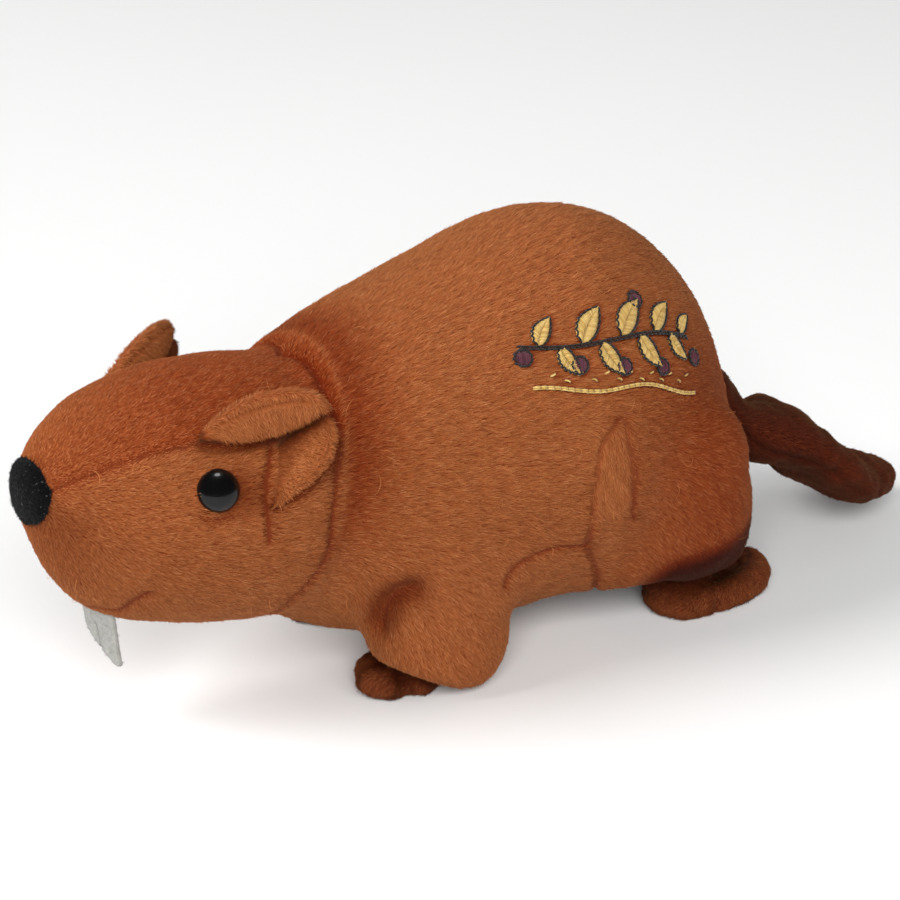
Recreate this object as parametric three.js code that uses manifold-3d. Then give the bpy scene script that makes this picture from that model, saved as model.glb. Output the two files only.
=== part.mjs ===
// Plush toy beaver: a small stuffed soft toy standing on four short legs, drawn in millimetres.
// The toy faces -Y, its left side is +X and +Z is up; it stands on the plane Z = 0.
// Every stuffed form is a sphere whose points are moved onto named, rounded sections.
import * as THREE from 'three';
import { mergeVertices } from 'three/addons/utils/BufferGeometryUtils.js';
import Module from 'manifold-3d';

const wasm = await Module();
wasm.setup();

// ---- driving dimensions -------------------------------------------------------------------
const GAP = 0.3;                // room between two pieces that are sewn or pressed together
const SIDES = [{ name: 'left', side: 1 }, { name: 'right', side: -1 }];

// A list of [place, size] pairs is a smooth curve along a form: place 0 is its start, 1 its end.
const HEAD = {
  from: -89.2, to: -12.4, front: 2.35, back: 2.6,
  mid: [[0, 52.4], [0.25, 46.5], [0.55, 45.6], [1, 44.4]],
  up: [[0, 22.9], [0.25, 29.8], [0.55, 30], [1, 28.9]],
  down: [[0, 32.4], [0.25, 24.5], [0.55, 26.3], [1, 31]],
  wide: [[0, 18.5], [0.25, 26], [0.55, 29.5], [1, 31]],
  lean: [[0, -4.3], [1, 6.6]],
};
const TRUNK = {
  from: -50.4, to: 83.4, front: 2.4, back: 2.6,
  mid: [[0, 47.4], [0.35, 46.7], [0.65, 44.7], [1, 44.2]],
  up: [[0, 33.5], [0.35, 38.3], [0.65, 49.7], [1, 54.7]],
  down: [[0, 34.6], [0.35, 42.4], [0.65, 39.5], [1, 36.7]],
  wide: [[0, 32], [0.35, 35.5], [0.65, 40.4], [1, 33]],
  lean: [[0, 6.2], [0.6, -0.4], [1, -5.7]],
};
const LEAN_HEIGHT = 30;         // a form's lean is the shift along Y at this height over its middle
const NECK = { y: -32.8, z: 46, slope: 0.28, block: 240 };   // the neck seam's tilted plane

const FRONT_LEG = {
  bottom: 0.5, top: 57.4, foot: 4.5, shoulder: 2,
  x: [[0, 25.5], [1, 20.2]],
  y: [[0, -4.3], [1, -8]],
  wide: [[0, 12], [0.5, 12], [1, 12]],
  long: [[0, 16], [0.5, 19], [1, 21.4]],
};
const HEM = { y: -3, z: 0.9, slope: 0.5 };   // the leg's lower edge rises forward from here, over the paw
const RIGHT_LEG_BACK = 5.5;     // the right front leg stands this much further back
const PAW = { x: 20.3, y: -11.2, z: 5.2, wide: 7.2, long: 10.4, thick: 7.4, turn: -12, square: 2.8 };
const THIGH = { x: 20, y: 48.7, z: 32.7, wide: 17.1, long: 26.6, tall: 22, turn: -14, square: 3.1 };
const HEEL = { x: 20, y: 65.2, z: 22.8, wide: 13.5, long: 13, tall: 15, turn: 0, square: 3 };
const HIND_FOOT = { x: 22.2, y: 69.6, z: 3.6, wide: 8.9, long: 18.2, thick: 6.5, turn: 5, square: 2.5 };

const TAIL = {
  from: 72, to: 142, root: 2, tip: 2.6, square: 2.2,
  height: [[0, 62], [0.25, 34.8], [0.5, 25.8], [0.75, 12.3], [1, 7.6]],
  wide: [[0, 10], [0.33, 17], [0.66, 21], [1, 14]],
  thick: [[0, 9.4], [0.33, 8.1], [0.66, 6.6], [1, 6]],
};

const EYE = { along: 0.402, angle: 25.2, radius: 4.4, depth: 3.1, out: 0.4 };
const NOSE = { z: 56.5, radius: 7.3, tall: 0.9, felt: 1 };
const TEETH = {
  y: -74.8, top: 30, wide: 14, long: 13, extra: 2.2, felt: 1.2, slit: 0.7, slitLong: 6, tilt: 8,
  round: 2.6,
};

// The ear is a folded leaf: an upper lobe hangs over a slit, a lower lobe runs down the cheek.
const EAR = {
  upper: {
    rim: [[18.9, -58.6, 67.2], [19.3, -54.4, 71.3], [21.5, -49.5, 74.6], [25, -43, 76.5],
      [28.6, -38, 76], [30.3, -35, 73.1]],
    fold: [[18.9, -58.6, 67.2], [20.3, -53.5, 66.3], [21.6, -48, 66], [24, -42, 67.3], [27.6, -37.6, 70.4],
      [30.3, -35, 73.1]],
    thick: 3.2,
  },
  lower: {
    rim: [[29.4, -35.8, 72.6], [32, -35.2, 69], [33, -37, 63.8], [32.5, -40.5, 59.8], [28.8, -47, 53.8]],
    fold: [[29.4, -35.8, 72.6], [25, -40, 67], [23.5, -43.5, 63], [26, -46, 58.5], [28.8, -47, 53.8]],
    thick: 2.6,
  },
  right: [0, -3.4, -1.2],         // the right ear is sewn on a little further forward and lower
};

// ---- colours ------------------------------------------------------------------------------
const COLOURS = {
  plush: { color: '#a4623a', roughness: 0.92 },
  limb: { color: '#9d5a36', roughness: 0.92 },
  paw: { color: '#5a2a17', roughness: 0.92 },
  tail: { color: '#441c0e', roughness: 0.92 },
  ear: { color: '#8e4e2a', roughness: 0.92 },
  felt: { color: '#1d1e1f', roughness: 0.95 },
  tooth: { color: '#d8d6d4', roughness: 0.95 },
  bead: { color: '#0c0c0c', roughness: 0.08 },
};

// ---- shaping helpers ----------------------------------------------------------------------

/** A smooth curve through [place, value] pairs: cubic, with averaged slopes, flat past its ends. */
function knots(pairs) {
  const steps = pairs.slice(1).map(([at, value], i) => (value - pairs[i][1]) / (at - pairs[i][0]));
  const slopes = pairs.map((pair, i) => {
    const before = steps[Math.max(i - 1, 0)];
    const after = steps[Math.min(i, steps.length - 1)];
    return (before + after) / 2;
  });
  return (place) => {
    const at = THREE.MathUtils.clamp(place, pairs[0][0], pairs.at(-1)[0]);
    const next = pairs.findIndex(([end], i) => i > 0 && at <= end);
    const [x0, v0] = pairs[next - 1];
    const [x1, v1] = pairs[next];
    const span = x1 - x0;
    const t = (at - x0) / span;
    return (1 + 2 * t) * (1 - t) ** 2 * v0 + t * (1 - t) ** 2 * span * slopes[next - 1]
      + t * t * (3 - 2 * t) * v1 + t * t * (t - 1) * span * slopes[next];
  };
}

/** How full a form is at s along it: 1 in the middle, 0 at both rounded ends. */
function fullness(s, first, last) {
  const u = 2 * s - 1;
  const power = u < 0 ? first : last;
  return Math.max(1 - Math.abs(u) ** power, 0) ** (1 / power);
}

/** Cosine with squarer corners: power 2 is a circle, more is a rounder box. */
function squared(value, power) {
  return Math.sign(value) * Math.abs(value) ** (2 / power);
}

/** A closed body: each point of a sphere moves to surface(s, angle), s running from pole to pole. */
function formGeometry(surface, rings, segments, turn = 1) {
  const geometry = new THREE.SphereGeometry(1, segments, rings);
  const points = geometry.attributes.position;
  for (let i = 0; i < points.count; i += 1) {
    const s = (1 - points.getY(i)) / 2;
    const angle = turn * Math.atan2(points.getZ(i), points.getX(i));
    const place = surface(THREE.MathUtils.clamp(s, 0, 1), angle);
    points.setXYZ(i, place.x, place.y, place.z);
  }
  return geometry;
}

/** A body along Y with its sections in XZ; grow pads it by that much all round. */
function loftGeometry(form, rings, segments, grow = 0) {
  const [mid, up, down, wide, lean] = [form.mid, form.up, form.down, form.wide, form.lean].map(knots);
  const surface = (s, angle) => {
    const full = fullness(s, form.front, form.back);
    const rise = Math.sin(angle);
    const z = ((rise > 0 ? up(s) : down(s)) + grow) * full * rise;
    const y = THREE.MathUtils.lerp(form.from - grow, form.to + grow, s) + lean(s) * z / LEAN_HEIGHT;
    return new THREE.Vector3((wide(s) + grow) * full * Math.cos(angle), y, mid(s) + z);
  };
  return formGeometry(surface, rings, segments, -1);
}

/** A front leg along Z, from the sole up into the trunk. */
function legGeometry(side, grow = 0) {
  const [x, y, wide, long] = [FRONT_LEG.x, FRONT_LEG.y, FRONT_LEG.wide, FRONT_LEG.long].map(knots);
  const surface = (s, angle) => {
    const full = fullness(s, FRONT_LEG.foot, FRONT_LEG.shoulder);
    return new THREE.Vector3(
      side * x(s) + (wide(s) + grow) * full * Math.cos(angle),
      y(s) + (long(s) + grow) * full * Math.sin(angle),
      THREE.MathUtils.lerp(FRONT_LEG.bottom - grow, FRONT_LEG.top + grow, s),
    );
  };
  return formGeometry(surface, 12, 18, 1);
}

/** A padded lump such as a thigh, paw or foot, turned about Z and mirrored for the right side. */
function lumpGeometry(lump, side, rings, segments, grow = 0) {
  const geometry = new THREE.SphereGeometry(1, segments, rings);
  const points = geometry.attributes.position;
  const size = new THREE.Vector3(lump.wide, lump.long, lump.thick ?? lump.tall).addScalar(grow);
  const point = new THREE.Vector3();
  for (let i = 0; i < points.count; i += 1) {
    point.fromBufferAttribute(points, i);
    const length = point.toArray().reduce((sum, c) => sum + Math.abs(c) ** lump.square, 0);
    point.multiplyScalar(length ** (-1 / lump.square)).multiply(size);
    points.setXYZ(i, point.x, point.y, point.z);
  }
  geometry.rotateZ(THREE.MathUtils.degToRad(side * lump.turn));
  return geometry.translate(side * lump.x, lump.y, lump.z);
}

/** The paddle tail: flat rounded sections square to a bent line in the YZ plane. */
function tailGeometry() {
  const [height, wide, thick] = [TAIL.height, TAIL.wide, TAIL.thick].map(knots);
  const length = TAIL.to - TAIL.from;
  const surface = (s, angle) => {
    const full = fullness(s, TAIL.root, TAIL.tip);
    const near = Math.max(s - 0.01, 0);
    const far = Math.min(s + 0.01, 1);
    const slope = (height(far) - height(near)) / ((far - near) * length);
    const up = new THREE.Vector3(0, -slope, 1).normalize();
    const centre = new THREE.Vector3(0, TAIL.from + length * s, height(s));
    const across = wide(s) * full * squared(Math.cos(angle), TAIL.square);
    return centre.addScaledVector(up, thick(s) * full * squared(Math.sin(angle), TAIL.square))
      .add(new THREE.Vector3(across, 0, 0));
  };
  return formGeometry(surface, 18, 18, -1);
}

/** A padded leaf between two edges that meet at both tips. */
function leafGeometry(leaf, side) {
  const toCurve = (edge) => new THREE.CatmullRomCurve3(edge.map((p) => new THREE.Vector3(...p)));
  const rim = toCurve(leaf.rim);
  const fold = toCurve(leaf.fold);
  const surface = (s, angle) => {
    const outer = rim.getPoint(s);
    const inner = fold.getPoint(s);
    const half = outer.clone().sub(inner).multiplyScalar(0.5);
    const along = rim.getTangent(s).add(fold.getTangent(s));
    const across = new THREE.Vector3().crossVectors(half, along).normalize();
    return outer.clone().add(inner).multiplyScalar(0.5)
      .addScaledVector(half, Math.cos(angle))
      .addScaledVector(across, leaf.thick * fullness(s, 2, 2) * Math.sin(angle));
  };
  const geometry = formGeometry(surface, 12, 10, 1);
  return side < 0 ? geometry.scale(-1, 1, 1).translate(...EAR.right) : geometry;
}

// ---- solids -------------------------------------------------------------------------------

/** A closed three.js geometry as a solid that can be joined and cut. */
function toSolid(geometry) {
  const bare = geometry.clone();
  bare.deleteAttribute('normal');
  bare.deleteAttribute('uv');
  const merged = mergeVertices(bare, 1e-4);
  const vertProperties = new Float32Array(merged.attributes.position.array);
  const corners = Array.from(merged.index.array);
  const flat = (a, b, c) => a === b || b === c || c === a;
  const kept = [];
  for (let i = 0; i < corners.length; i += 3) {
    const [a, b, c] = corners.slice(i, i + 3);
    if (!flat(a, b, c)) kept.push([a, b, c]);
  }
  const volume = kept.reduce((sum, [a, b, c]) => sum + corner(vertProperties, a)
    .dot(corner(vertProperties, b).cross(corner(vertProperties, c))), 0);
  const outward = volume > 0 ? kept : kept.map(([a, b, c]) => [a, c, b]);
  const triVerts = new Uint32Array(outward.flat());
  return new wasm.Manifold(new wasm.Mesh({ numProp: 3, vertProperties, triVerts }));
}

function corner(coordinates, index) {
  return new THREE.Vector3().fromArray(coordinates, 3 * index);
}

/** A solid as a three.js geometry again. */
function toGeometry(solid) {
  const mesh = solid.getMesh();
  const geometry = new THREE.BufferGeometry();
  geometry.setAttribute('position', new THREE.BufferAttribute(mesh.vertProperties, 3));
  geometry.setIndex(new THREE.BufferAttribute(mesh.triVerts, 1));
  geometry.computeVertexNormals();
  return geometry;
}

/** Everything on one side of the neck seam: towards -Y for way -1, towards +Y for way 1. */
function neckBlock(way) {
  const geometry = new THREE.BoxGeometry(NECK.block, NECK.block, NECK.block);
  geometry.translate(0, way * (NECK.block / 2 - GAP / 2), 0);
  geometry.rotateX(-Math.atan(NECK.slope));
  return toSolid(geometry.translate(0, NECK.y, NECK.z));
}

/** Everything below the slanting lower edge of a front leg, in front of its heel. */
function underHem() {
  const size = 60;
  const geometry = new THREE.BoxGeometry(2 * size, size, size).translate(0, -size / 2, -size / 2);
  return toSolid(geometry.rotateX(-Math.atan(HEM.slope)).translate(0, HEM.y, HEM.z));
}

/** The half space below the floor, which leaves a flat under a paw. */
function underFloor() {
  const depth = 20;
  return toSolid(new THREE.BoxGeometry(400, 400, depth).translate(0, 0, -depth / 2));
}

/** A place on the head's skin, with the direction that points out of it. */
function onHead(along, angle, side) {
  const place = (s, a) => {
    const [mid, up, down, wide, lean] = [HEAD.mid, HEAD.up, HEAD.down, HEAD.wide, HEAD.lean].map(knots);
    const full = fullness(s, HEAD.front, HEAD.back);
    const z = (Math.sin(a) > 0 ? up(s) : down(s)) * full * Math.sin(a);
    const y = THREE.MathUtils.lerp(HEAD.from, HEAD.to, s) + lean(s) * z / LEAN_HEIGHT;
    return new THREE.Vector3(wide(s) * full * Math.cos(a), y, mid(s) + z);
  };
  const turn = THREE.MathUtils.degToRad(angle);
  const point = place(along, turn);
  const back = place(along + 0.01, turn).sub(point);
  const round = place(along, turn + 0.01).sub(point);
  const out = back.cross(round).normalize();
  if (out.x < 0) out.negate();
  const mirror = new THREE.Vector3(side, 1, 1);
  return { point: point.multiply(mirror), out: out.multiply(mirror) };
}

/** A glossy button eye: a flattened ball set halfway into the head. */
function eyeGeometry(side, grow = 0) {
  const { point, out } = onHead(EYE.along, EYE.angle, side);
  const geometry = new THREE.SphereGeometry(1, 14, 10);
  geometry.scale(EYE.radius + grow, EYE.radius + grow, EYE.depth + grow);
  geometry.applyQuaternion(new THREE.Quaternion().setFromUnitVectors(new THREE.Vector3(0, 0, 1), out));
  const centre = point.addScaledVector(out, EYE.out);
  return geometry.translate(centre.x, centre.y, centre.z);
}

/** The round felt nose, a thin patch that follows the end of the snout. */
function noseSolid() {
  const punch = new THREE.CylinderGeometry(NOSE.radius, NOSE.radius, 30, 24);
  punch.scale(1, 1, NOSE.tall).translate(0, HEAD.from, NOSE.z);
  const outer = toSolid(loftGeometry(HEAD, 24, 28, GAP + NOSE.felt));
  const inner = toSolid(loftGeometry(HEAD, 24, 28, GAP));
  return outer.intersect(toSolid(punch)).subtract(inner);
}

/** The two felt incisors: one sheet with a slit, the left tooth a little longer. */
function teethGeometry(grow = 0) {
  const half = TEETH.wide / 2 + grow;
  const slit = Math.max(TEETH.slit / 2 - grow, 0.02);
  const left = TEETH.long + TEETH.extra + grow;
  const right = TEETH.long + grow;
  const shape = new THREE.Shape();
  shape.moveTo(-half, grow);
  shape.lineTo(-half, -right + TEETH.round);
  shape.quadraticCurveTo(-half, -right, -half + TEETH.round, -right);
  shape.lineTo(-slit - 1, -right);
  shape.quadraticCurveTo(-slit, -right, -slit, -right + 1);
  shape.lineTo(-slit, -right + TEETH.slitLong);
  shape.lineTo(slit, -right + TEETH.slitLong);
  shape.lineTo(slit, -left + 1.5);
  shape.quadraticCurveTo(slit, -left, slit + 1.5, -left);
  shape.lineTo(half - TEETH.round, -left);
  shape.quadraticCurveTo(half, -left, half, -left + TEETH.round);
  shape.lineTo(half, grow);
  shape.closePath();
  const depth = TEETH.felt + 2 * grow;
  const options = { depth, bevelEnabled: false, curveSegments: 6 };
  const geometry = new THREE.ExtrudeGeometry(shape, options).translate(0, 0, -depth / 2);
  geometry.rotateX(Math.PI / 2 + THREE.MathUtils.degToRad(TEETH.tilt));
  return geometry.translate(0, TEETH.y, TEETH.top);
}

// ---- the pieces ---------------------------------------------------------------------------
const toy = new THREE.Group();

function addPiece(name, solid, look) {
  const material = new THREE.MeshStandardMaterial({ metalness: 0, ...COLOURS[look] });
  const mesh = new THREE.Mesh(toGeometry(solid), material);
  mesh.name = name;
  toy.add(mesh);
}

/** The solid made for each side, left first. */
const forSides = (make) => SIDES.map(({ side }) => make(side));
const join = (solids) => solids.reduce((sum, solid) => sum.add(solid));
const standBack = (solid, side) => solid.translate([0, side < 0 ? RIGHT_LEG_BACK : 0, 0]);

const floor = underFloor();
const trunkRoom = toSolid(loftGeometry(TRUNK, 26, 28, GAP));
const paws = forSides((side) => standBack(toSolid(lumpGeometry(PAW, side, 9, 12)), side)
  .subtract(floor).subtract(trunkRoom));
const feet = forSides((side) => toSolid(lumpGeometry(HIND_FOOT, side, 9, 14)).subtract(floor));
const pawRoom = join(forSides((side) => toSolid(lumpGeometry(PAW, side, 9, 12, GAP))));
const footRoom = join(forSides((side) => toSolid(lumpGeometry(HIND_FOOT, side, 9, 14, GAP))));
const hem = underHem();
const legs = forSides((side) => standBack(
  toSolid(legGeometry(side)).subtract(hem).subtract(pawRoom), side));
const haunch = (side, grow = 0) => toSolid(lumpGeometry(THIGH, side, 12, 16, grow))
  .add(toSolid(lumpGeometry(HEEL, side, 8, 12, grow)));
const thighs = forSides((side) => haunch(side).subtract(footRoom));
const legRoom = join(forSides((side) => standBack(toSolid(legGeometry(side, GAP)), side)));
const thighRoom = join(forSides((side) => haunch(side, GAP)));

const nose = noseSolid();
const teeth = toSolid(teethGeometry());
const eyes = forSides((side) => toSolid(eyeGeometry(side)));
const eyeRoom = join(forSides((side) => toSolid(eyeGeometry(side, GAP))));
const headRoom = toSolid(loftGeometry(HEAD, 24, 28, GAP));

const tail = toSolid(tailGeometry()).subtract(trunkRoom);

const head = toSolid(loftGeometry(HEAD, 24, 28))
  .subtract(neckBlock(1))
  .subtract(eyeRoom)
  .subtract(toSolid(teethGeometry(GAP)));
const trunk = toSolid(loftGeometry(TRUNK, 26, 28))
  .subtract(neckBlock(-1))
  .subtract(legRoom)
  .subtract(thighRoom);

addPiece('head', head, 'plush');
addPiece('trunk', trunk, 'plush');
addPiece('tail', tail, 'tail');
addPiece('nose', nose, 'felt');
addPiece('teeth', teeth, 'tooth');
SIDES.forEach(({ name, side }, i) => {
  const lobes = toSolid(leafGeometry(EAR.upper, side)).add(toSolid(leafGeometry(EAR.lower, side)));
  addPiece(`ear_${name}`, lobes.subtract(headRoom), 'ear');
  addPiece(`eye_${name}`, eyes[i], 'bead');
  addPiece(`front_leg_${name}`, legs[i], 'limb');
  addPiece(`front_paw_${name}`, paws[i], 'paw');
  addPiece(`hind_leg_${name}`, thighs[i], 'plush');
  addPiece(`hind_foot_${name}`, feet[i], 'paw');
});

// The origin is the middle of the toy's length, on the floor.
const bounds = new THREE.Box3().setFromObject(toy);
toy.position.y = -bounds.getCenter(new THREE.Vector3()).y;

export default toy;
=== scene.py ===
"""A small plush beaver: short pile over a stuffed body, felt nose and teeth, glossy bead eyes."""

import math

import bpy
import numpy as np
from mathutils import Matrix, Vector


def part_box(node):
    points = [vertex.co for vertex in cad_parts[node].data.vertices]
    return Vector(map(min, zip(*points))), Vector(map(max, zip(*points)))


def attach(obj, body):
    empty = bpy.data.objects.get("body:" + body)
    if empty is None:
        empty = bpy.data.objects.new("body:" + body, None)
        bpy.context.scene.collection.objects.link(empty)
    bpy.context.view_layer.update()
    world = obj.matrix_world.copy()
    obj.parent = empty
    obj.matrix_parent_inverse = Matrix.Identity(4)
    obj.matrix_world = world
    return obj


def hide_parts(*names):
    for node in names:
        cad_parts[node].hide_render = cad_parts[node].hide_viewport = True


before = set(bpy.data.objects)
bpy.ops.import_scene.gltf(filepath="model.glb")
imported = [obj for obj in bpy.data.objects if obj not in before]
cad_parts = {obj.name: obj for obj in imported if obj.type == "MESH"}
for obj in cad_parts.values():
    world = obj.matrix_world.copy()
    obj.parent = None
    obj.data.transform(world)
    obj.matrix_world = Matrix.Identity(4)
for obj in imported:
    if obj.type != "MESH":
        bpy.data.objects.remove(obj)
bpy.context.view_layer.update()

# ---- sizes, in millimetres --------------------------------------------------------------------
MM = 0.001
BOTH = (("left", 1), ("right", -1))
LEAN_HEIGHT = 30
NECK = dict(y=-32.8, z=46, slope=0.28)
HEAD = dict(
    start=-89.2, end=-12.4, front=2.35, back=2.6,
    mid=[(0, 52.4), (0.25, 46.5), (0.55, 45.6), (1, 44.4)],
    up=[(0, 22.9), (0.25, 29.8), (0.55, 30), (1, 28.9)],
    down=[(0, 32.4), (0.25, 24.5), (0.55, 26.3), (1, 31)],
    wide=[(0, 18.5), (0.25, 26), (0.55, 29.5), (1, 31)],
    lean=[(0, -4.3), (1, 6.6)],
)
TRUNK = dict(
    start=-50.4, end=83.4, front=2.4, back=2.6,
    mid=[(0, 47.4), (0.35, 46.7), (0.65, 44.7), (1, 44.2)],
    up=[(0, 33.5), (0.35, 38.3), (0.65, 49.7), (1, 54.7)],
    down=[(0, 34.6), (0.35, 42.4), (0.65, 39.5), (1, 36.7)],
    wide=[(0, 32), (0.35, 35.5), (0.65, 40.4), (1, 33)],
    lean=[(0, 6.2), (0.6, -0.4), (1, -5.7)],
)
FRONT_LEG = dict(
    bottom=0.5, top=57.4, foot=4.5, shoulder=2,
    x=[(0, 25.5), (1, 20.2)], y=[(0, -4.3), (1, -8)],
    wide=[(0, 12), (0.5, 12), (1, 12)], long=[(0, 16), (0.5, 19), (1, 21.4)],
)
HEM = dict(y=-3, z=0.9, slope=0.5)
RIGHT_LEG_BACK = 5.5      # the right front leg and its mitt stand this much further back
PAW = dict(x=20.3, y=-11.2, z=5.2, size=(7.2, 10.4, 7.4), turn=-12, square=2.8)
THIGH = dict(x=20, y=48.7, z=32.7, size=(17.1, 26.6, 22), turn=-14, square=3.1)
HEEL = dict(x=20, y=65.2, z=22.8, size=(13.5, 13, 15), turn=0, square=3)
HIND_FOOT = dict(x=22.2, y=69.6, z=3.6, size=(8.9, 18.2, 6.5), turn=5, square=2.5)
SOLE = HIND_FOOT | dict(y=71.5, z=2.6, size=(8, 13.6, 4))
ANKLE = HIND_FOOT | dict(x=21, y=63, z=6, size=(6.5, 9, 6))
TAIL = dict(
    start=72, end=142, root=2, tip=2.6, square=2.2,
    height=[(0, 62), (0.25, 34.8), (0.5, 25.8), (0.75, 12.3), (1, 7.6)],
    wide=[(0, 10), (0.33, 17), (0.66, 21), (1, 14)],
    thick=[(0, 9.4), (0.33, 8.1), (0.66, 6.6), (1, 6)],
)
EYE = dict(along=0.402, angle=25.2, radius=4.4, depth=3.1, out=0.4)
NOSE = dict(x=0.5, y=-90.5, z=56.5, radius=7.3, tall=0.9)
TEETH = dict(
    y=-74.8, top=30, wide=14, long=13, extra=2.2, felt=1.2, slit=0.4, slit_long=6, tilt=8, round=1.3
)
# In each lobe, pressed is how much painted shade lies on its half toward the fold.
EAR_UPPER = dict(
    rim=[(18.9, -58.6, 67.2), (19.3, -54.4, 71.3), (21.5, -49.5, 74.6), (25, -43, 76.5),
         (28.8, -37.4, 75.7), (30.5, -35.4, 72.6)],
    fold=[(18.9, -58.6, 67.2), (20.3, -53.5, 66.3), (21.6, -48, 66), (24, -42, 67.3),
          (27.6, -37.6, 70.4), (30.5, -35.4, 72.6)],
    thick=3.2, cup=0.0, pressed=0.15, lie=(-0.9, (0, 2.6, -1)),
)
EAR_LOWER = dict(
    rim=[(29.4, -35.8, 72.6), (32, -35.2, 69), (33, -37, 63.8), (32.5, -40.5, 59.8),
         (28.8, -47, 53.8)],
    fold=[(29.4, -35.8, 72.6), (25, -40, 67), (23.5, -43.5, 63), (26, -46, 58.5), (28.8, -47, 53.8)],
    thick=2.6, cup=1.1, pressed=0.6, lie=(0.6, (0, 1.5, -2)),
)
RIGHT_EAR = (0, -3.4, -1.2)  # the right ear is sewn on a little further forward and lower
PILE_DEPTH = 0.55         # the skin lies this far inside the tips of the pile
SHIFT = TAIL["end"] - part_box("tail")[1].y / MM   # how far the model's own Y runs ahead of the row's


def metres(points):
    """Model millimetres to places in the frame."""
    return (np.asarray(points, float) - (0, SHIFT, 0)) * MM


# ---- curves and forms -------------------------------------------------------------------------
def knots(pairs):
    """A smooth curve through (place, value) pairs: cubic, with averaged slopes, flat past its ends."""
    place, value = np.array(pairs, float).T
    step = np.diff(value) / np.diff(place)
    slope = np.concatenate([step[:1], (step[:-1] + step[1:]) / 2, step[-1:]])
    at = np.linspace(place[0], place[-1], 513)
    i = np.clip(np.searchsorted(place, at, side="right") - 1, 0, len(place) - 2)
    span = place[i + 1] - place[i]
    t = (at - place[i]) / span
    table = (
        (1 + 2 * t) * (1 - t) ** 2 * value[i] + t * (1 - t) ** 2 * span * slope[i]
        + t * t * (3 - 2 * t) * value[i + 1] + t * t * (t - 1) * span * slope[i + 1]
    )
    return lambda s: np.interp(s, at, table)


def unit(vectors):
    """The same directions, each of length 1."""
    return vectors / np.maximum(np.linalg.norm(vectors, axis=-1, keepdims=True), 1e-9)


def ease(low, high, value):
    """0 below low, 1 above high, and smooth between them."""
    t = np.clip((value - low) / (high - low), 0, 1)
    return t * t * (3 - 2 * t)


def soften(first, second, reach):
    """The lesser of two distances, with the corner between them filled over reach."""
    gap = np.maximum(reach - np.abs(first - second), 0) / reach
    return np.minimum(first, second) - gap * gap * reach / 4


def trimmed(first, second, reach):
    """The greater of two distances, with the corner between them rounded over reach."""
    return -soften(-first, -second, reach)


def folded(p):
    """The same places, all brought over to the left side, the right front leg onto the left one."""
    y, z = p[..., 1], p[..., 2]
    leg = ease(-42, -26, y) * ease(38, 22, y) * ease(40, 26, z) * (p[..., 0] < 0)
    shift = RIGHT_LEG_BACK * leg[..., None] * np.array((0, 1, 0))
    return np.abs(p * (1, 0, 0)) + p * (0, 1, 1) - shift


def ends(s, front, back, rho):
    """A level that closes a form at both its ends, each as bluntly as its power says."""
    u = 2 * s - 1
    power = np.where(u < 0, front, back)
    return (np.abs(u) ** power + rho ** power) ** (1 / power) - 1


def loft_level(form):
    """A stuffed form along Y: less than 0 inside it."""
    mid, up, down, wide, lean = (knots(form[k]) for k in ("mid", "up", "down", "wide", "lean"))
    start, length = form["start"], form["end"] - form["start"]

    def level(p):
        x, y, z = p[..., 0], p[..., 1], p[..., 2]
        s = (y - start) / length
        for _ in range(3):
            held = np.clip(s, 0, 1)
            s = (y - lean(held) * (z - mid(held)) / LEAN_HEIGHT - start) / length
        held = np.clip(s, 0, 1)
        rise = z - mid(held)
        high = np.where(rise > 0, up(held), down(held))
        return ends(s, form["front"], form["back"], np.hypot(x / wide(held), rise / high))

    return level


def leg_level(form):
    """A front leg along Z: less than 0 inside it."""
    cx, cy, wide, long = (knots(form[k]) for k in ("x", "y", "wide", "long"))

    def level(p):
        s = (p[..., 2] - form["bottom"]) / (form["top"] - form["bottom"])
        held = np.clip(s, 0, 1)
        rho = np.hypot((p[..., 0] - cx(held)) / wide(held), (p[..., 1] - cy(held)) / long(held))
        return ends(s, form["foot"], form["shoulder"], rho)

    return level


def lump_level(form):
    """A padded lump, turned about Z: less than 0 inside it."""
    turn = math.radians(form["turn"])
    c, s = math.cos(turn), math.sin(turn)

    def level(p):
        q = p - (form["x"], form["y"], form["z"])
        q = np.stack([q[..., 0] * c + q[..., 1] * s, q[..., 1] * c - q[..., 0] * s, q[..., 2]], -1)
        return (np.abs(q / form["size"]) ** form["square"]).sum(-1) ** (1 / form["square"]) - 1

    return level


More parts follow.
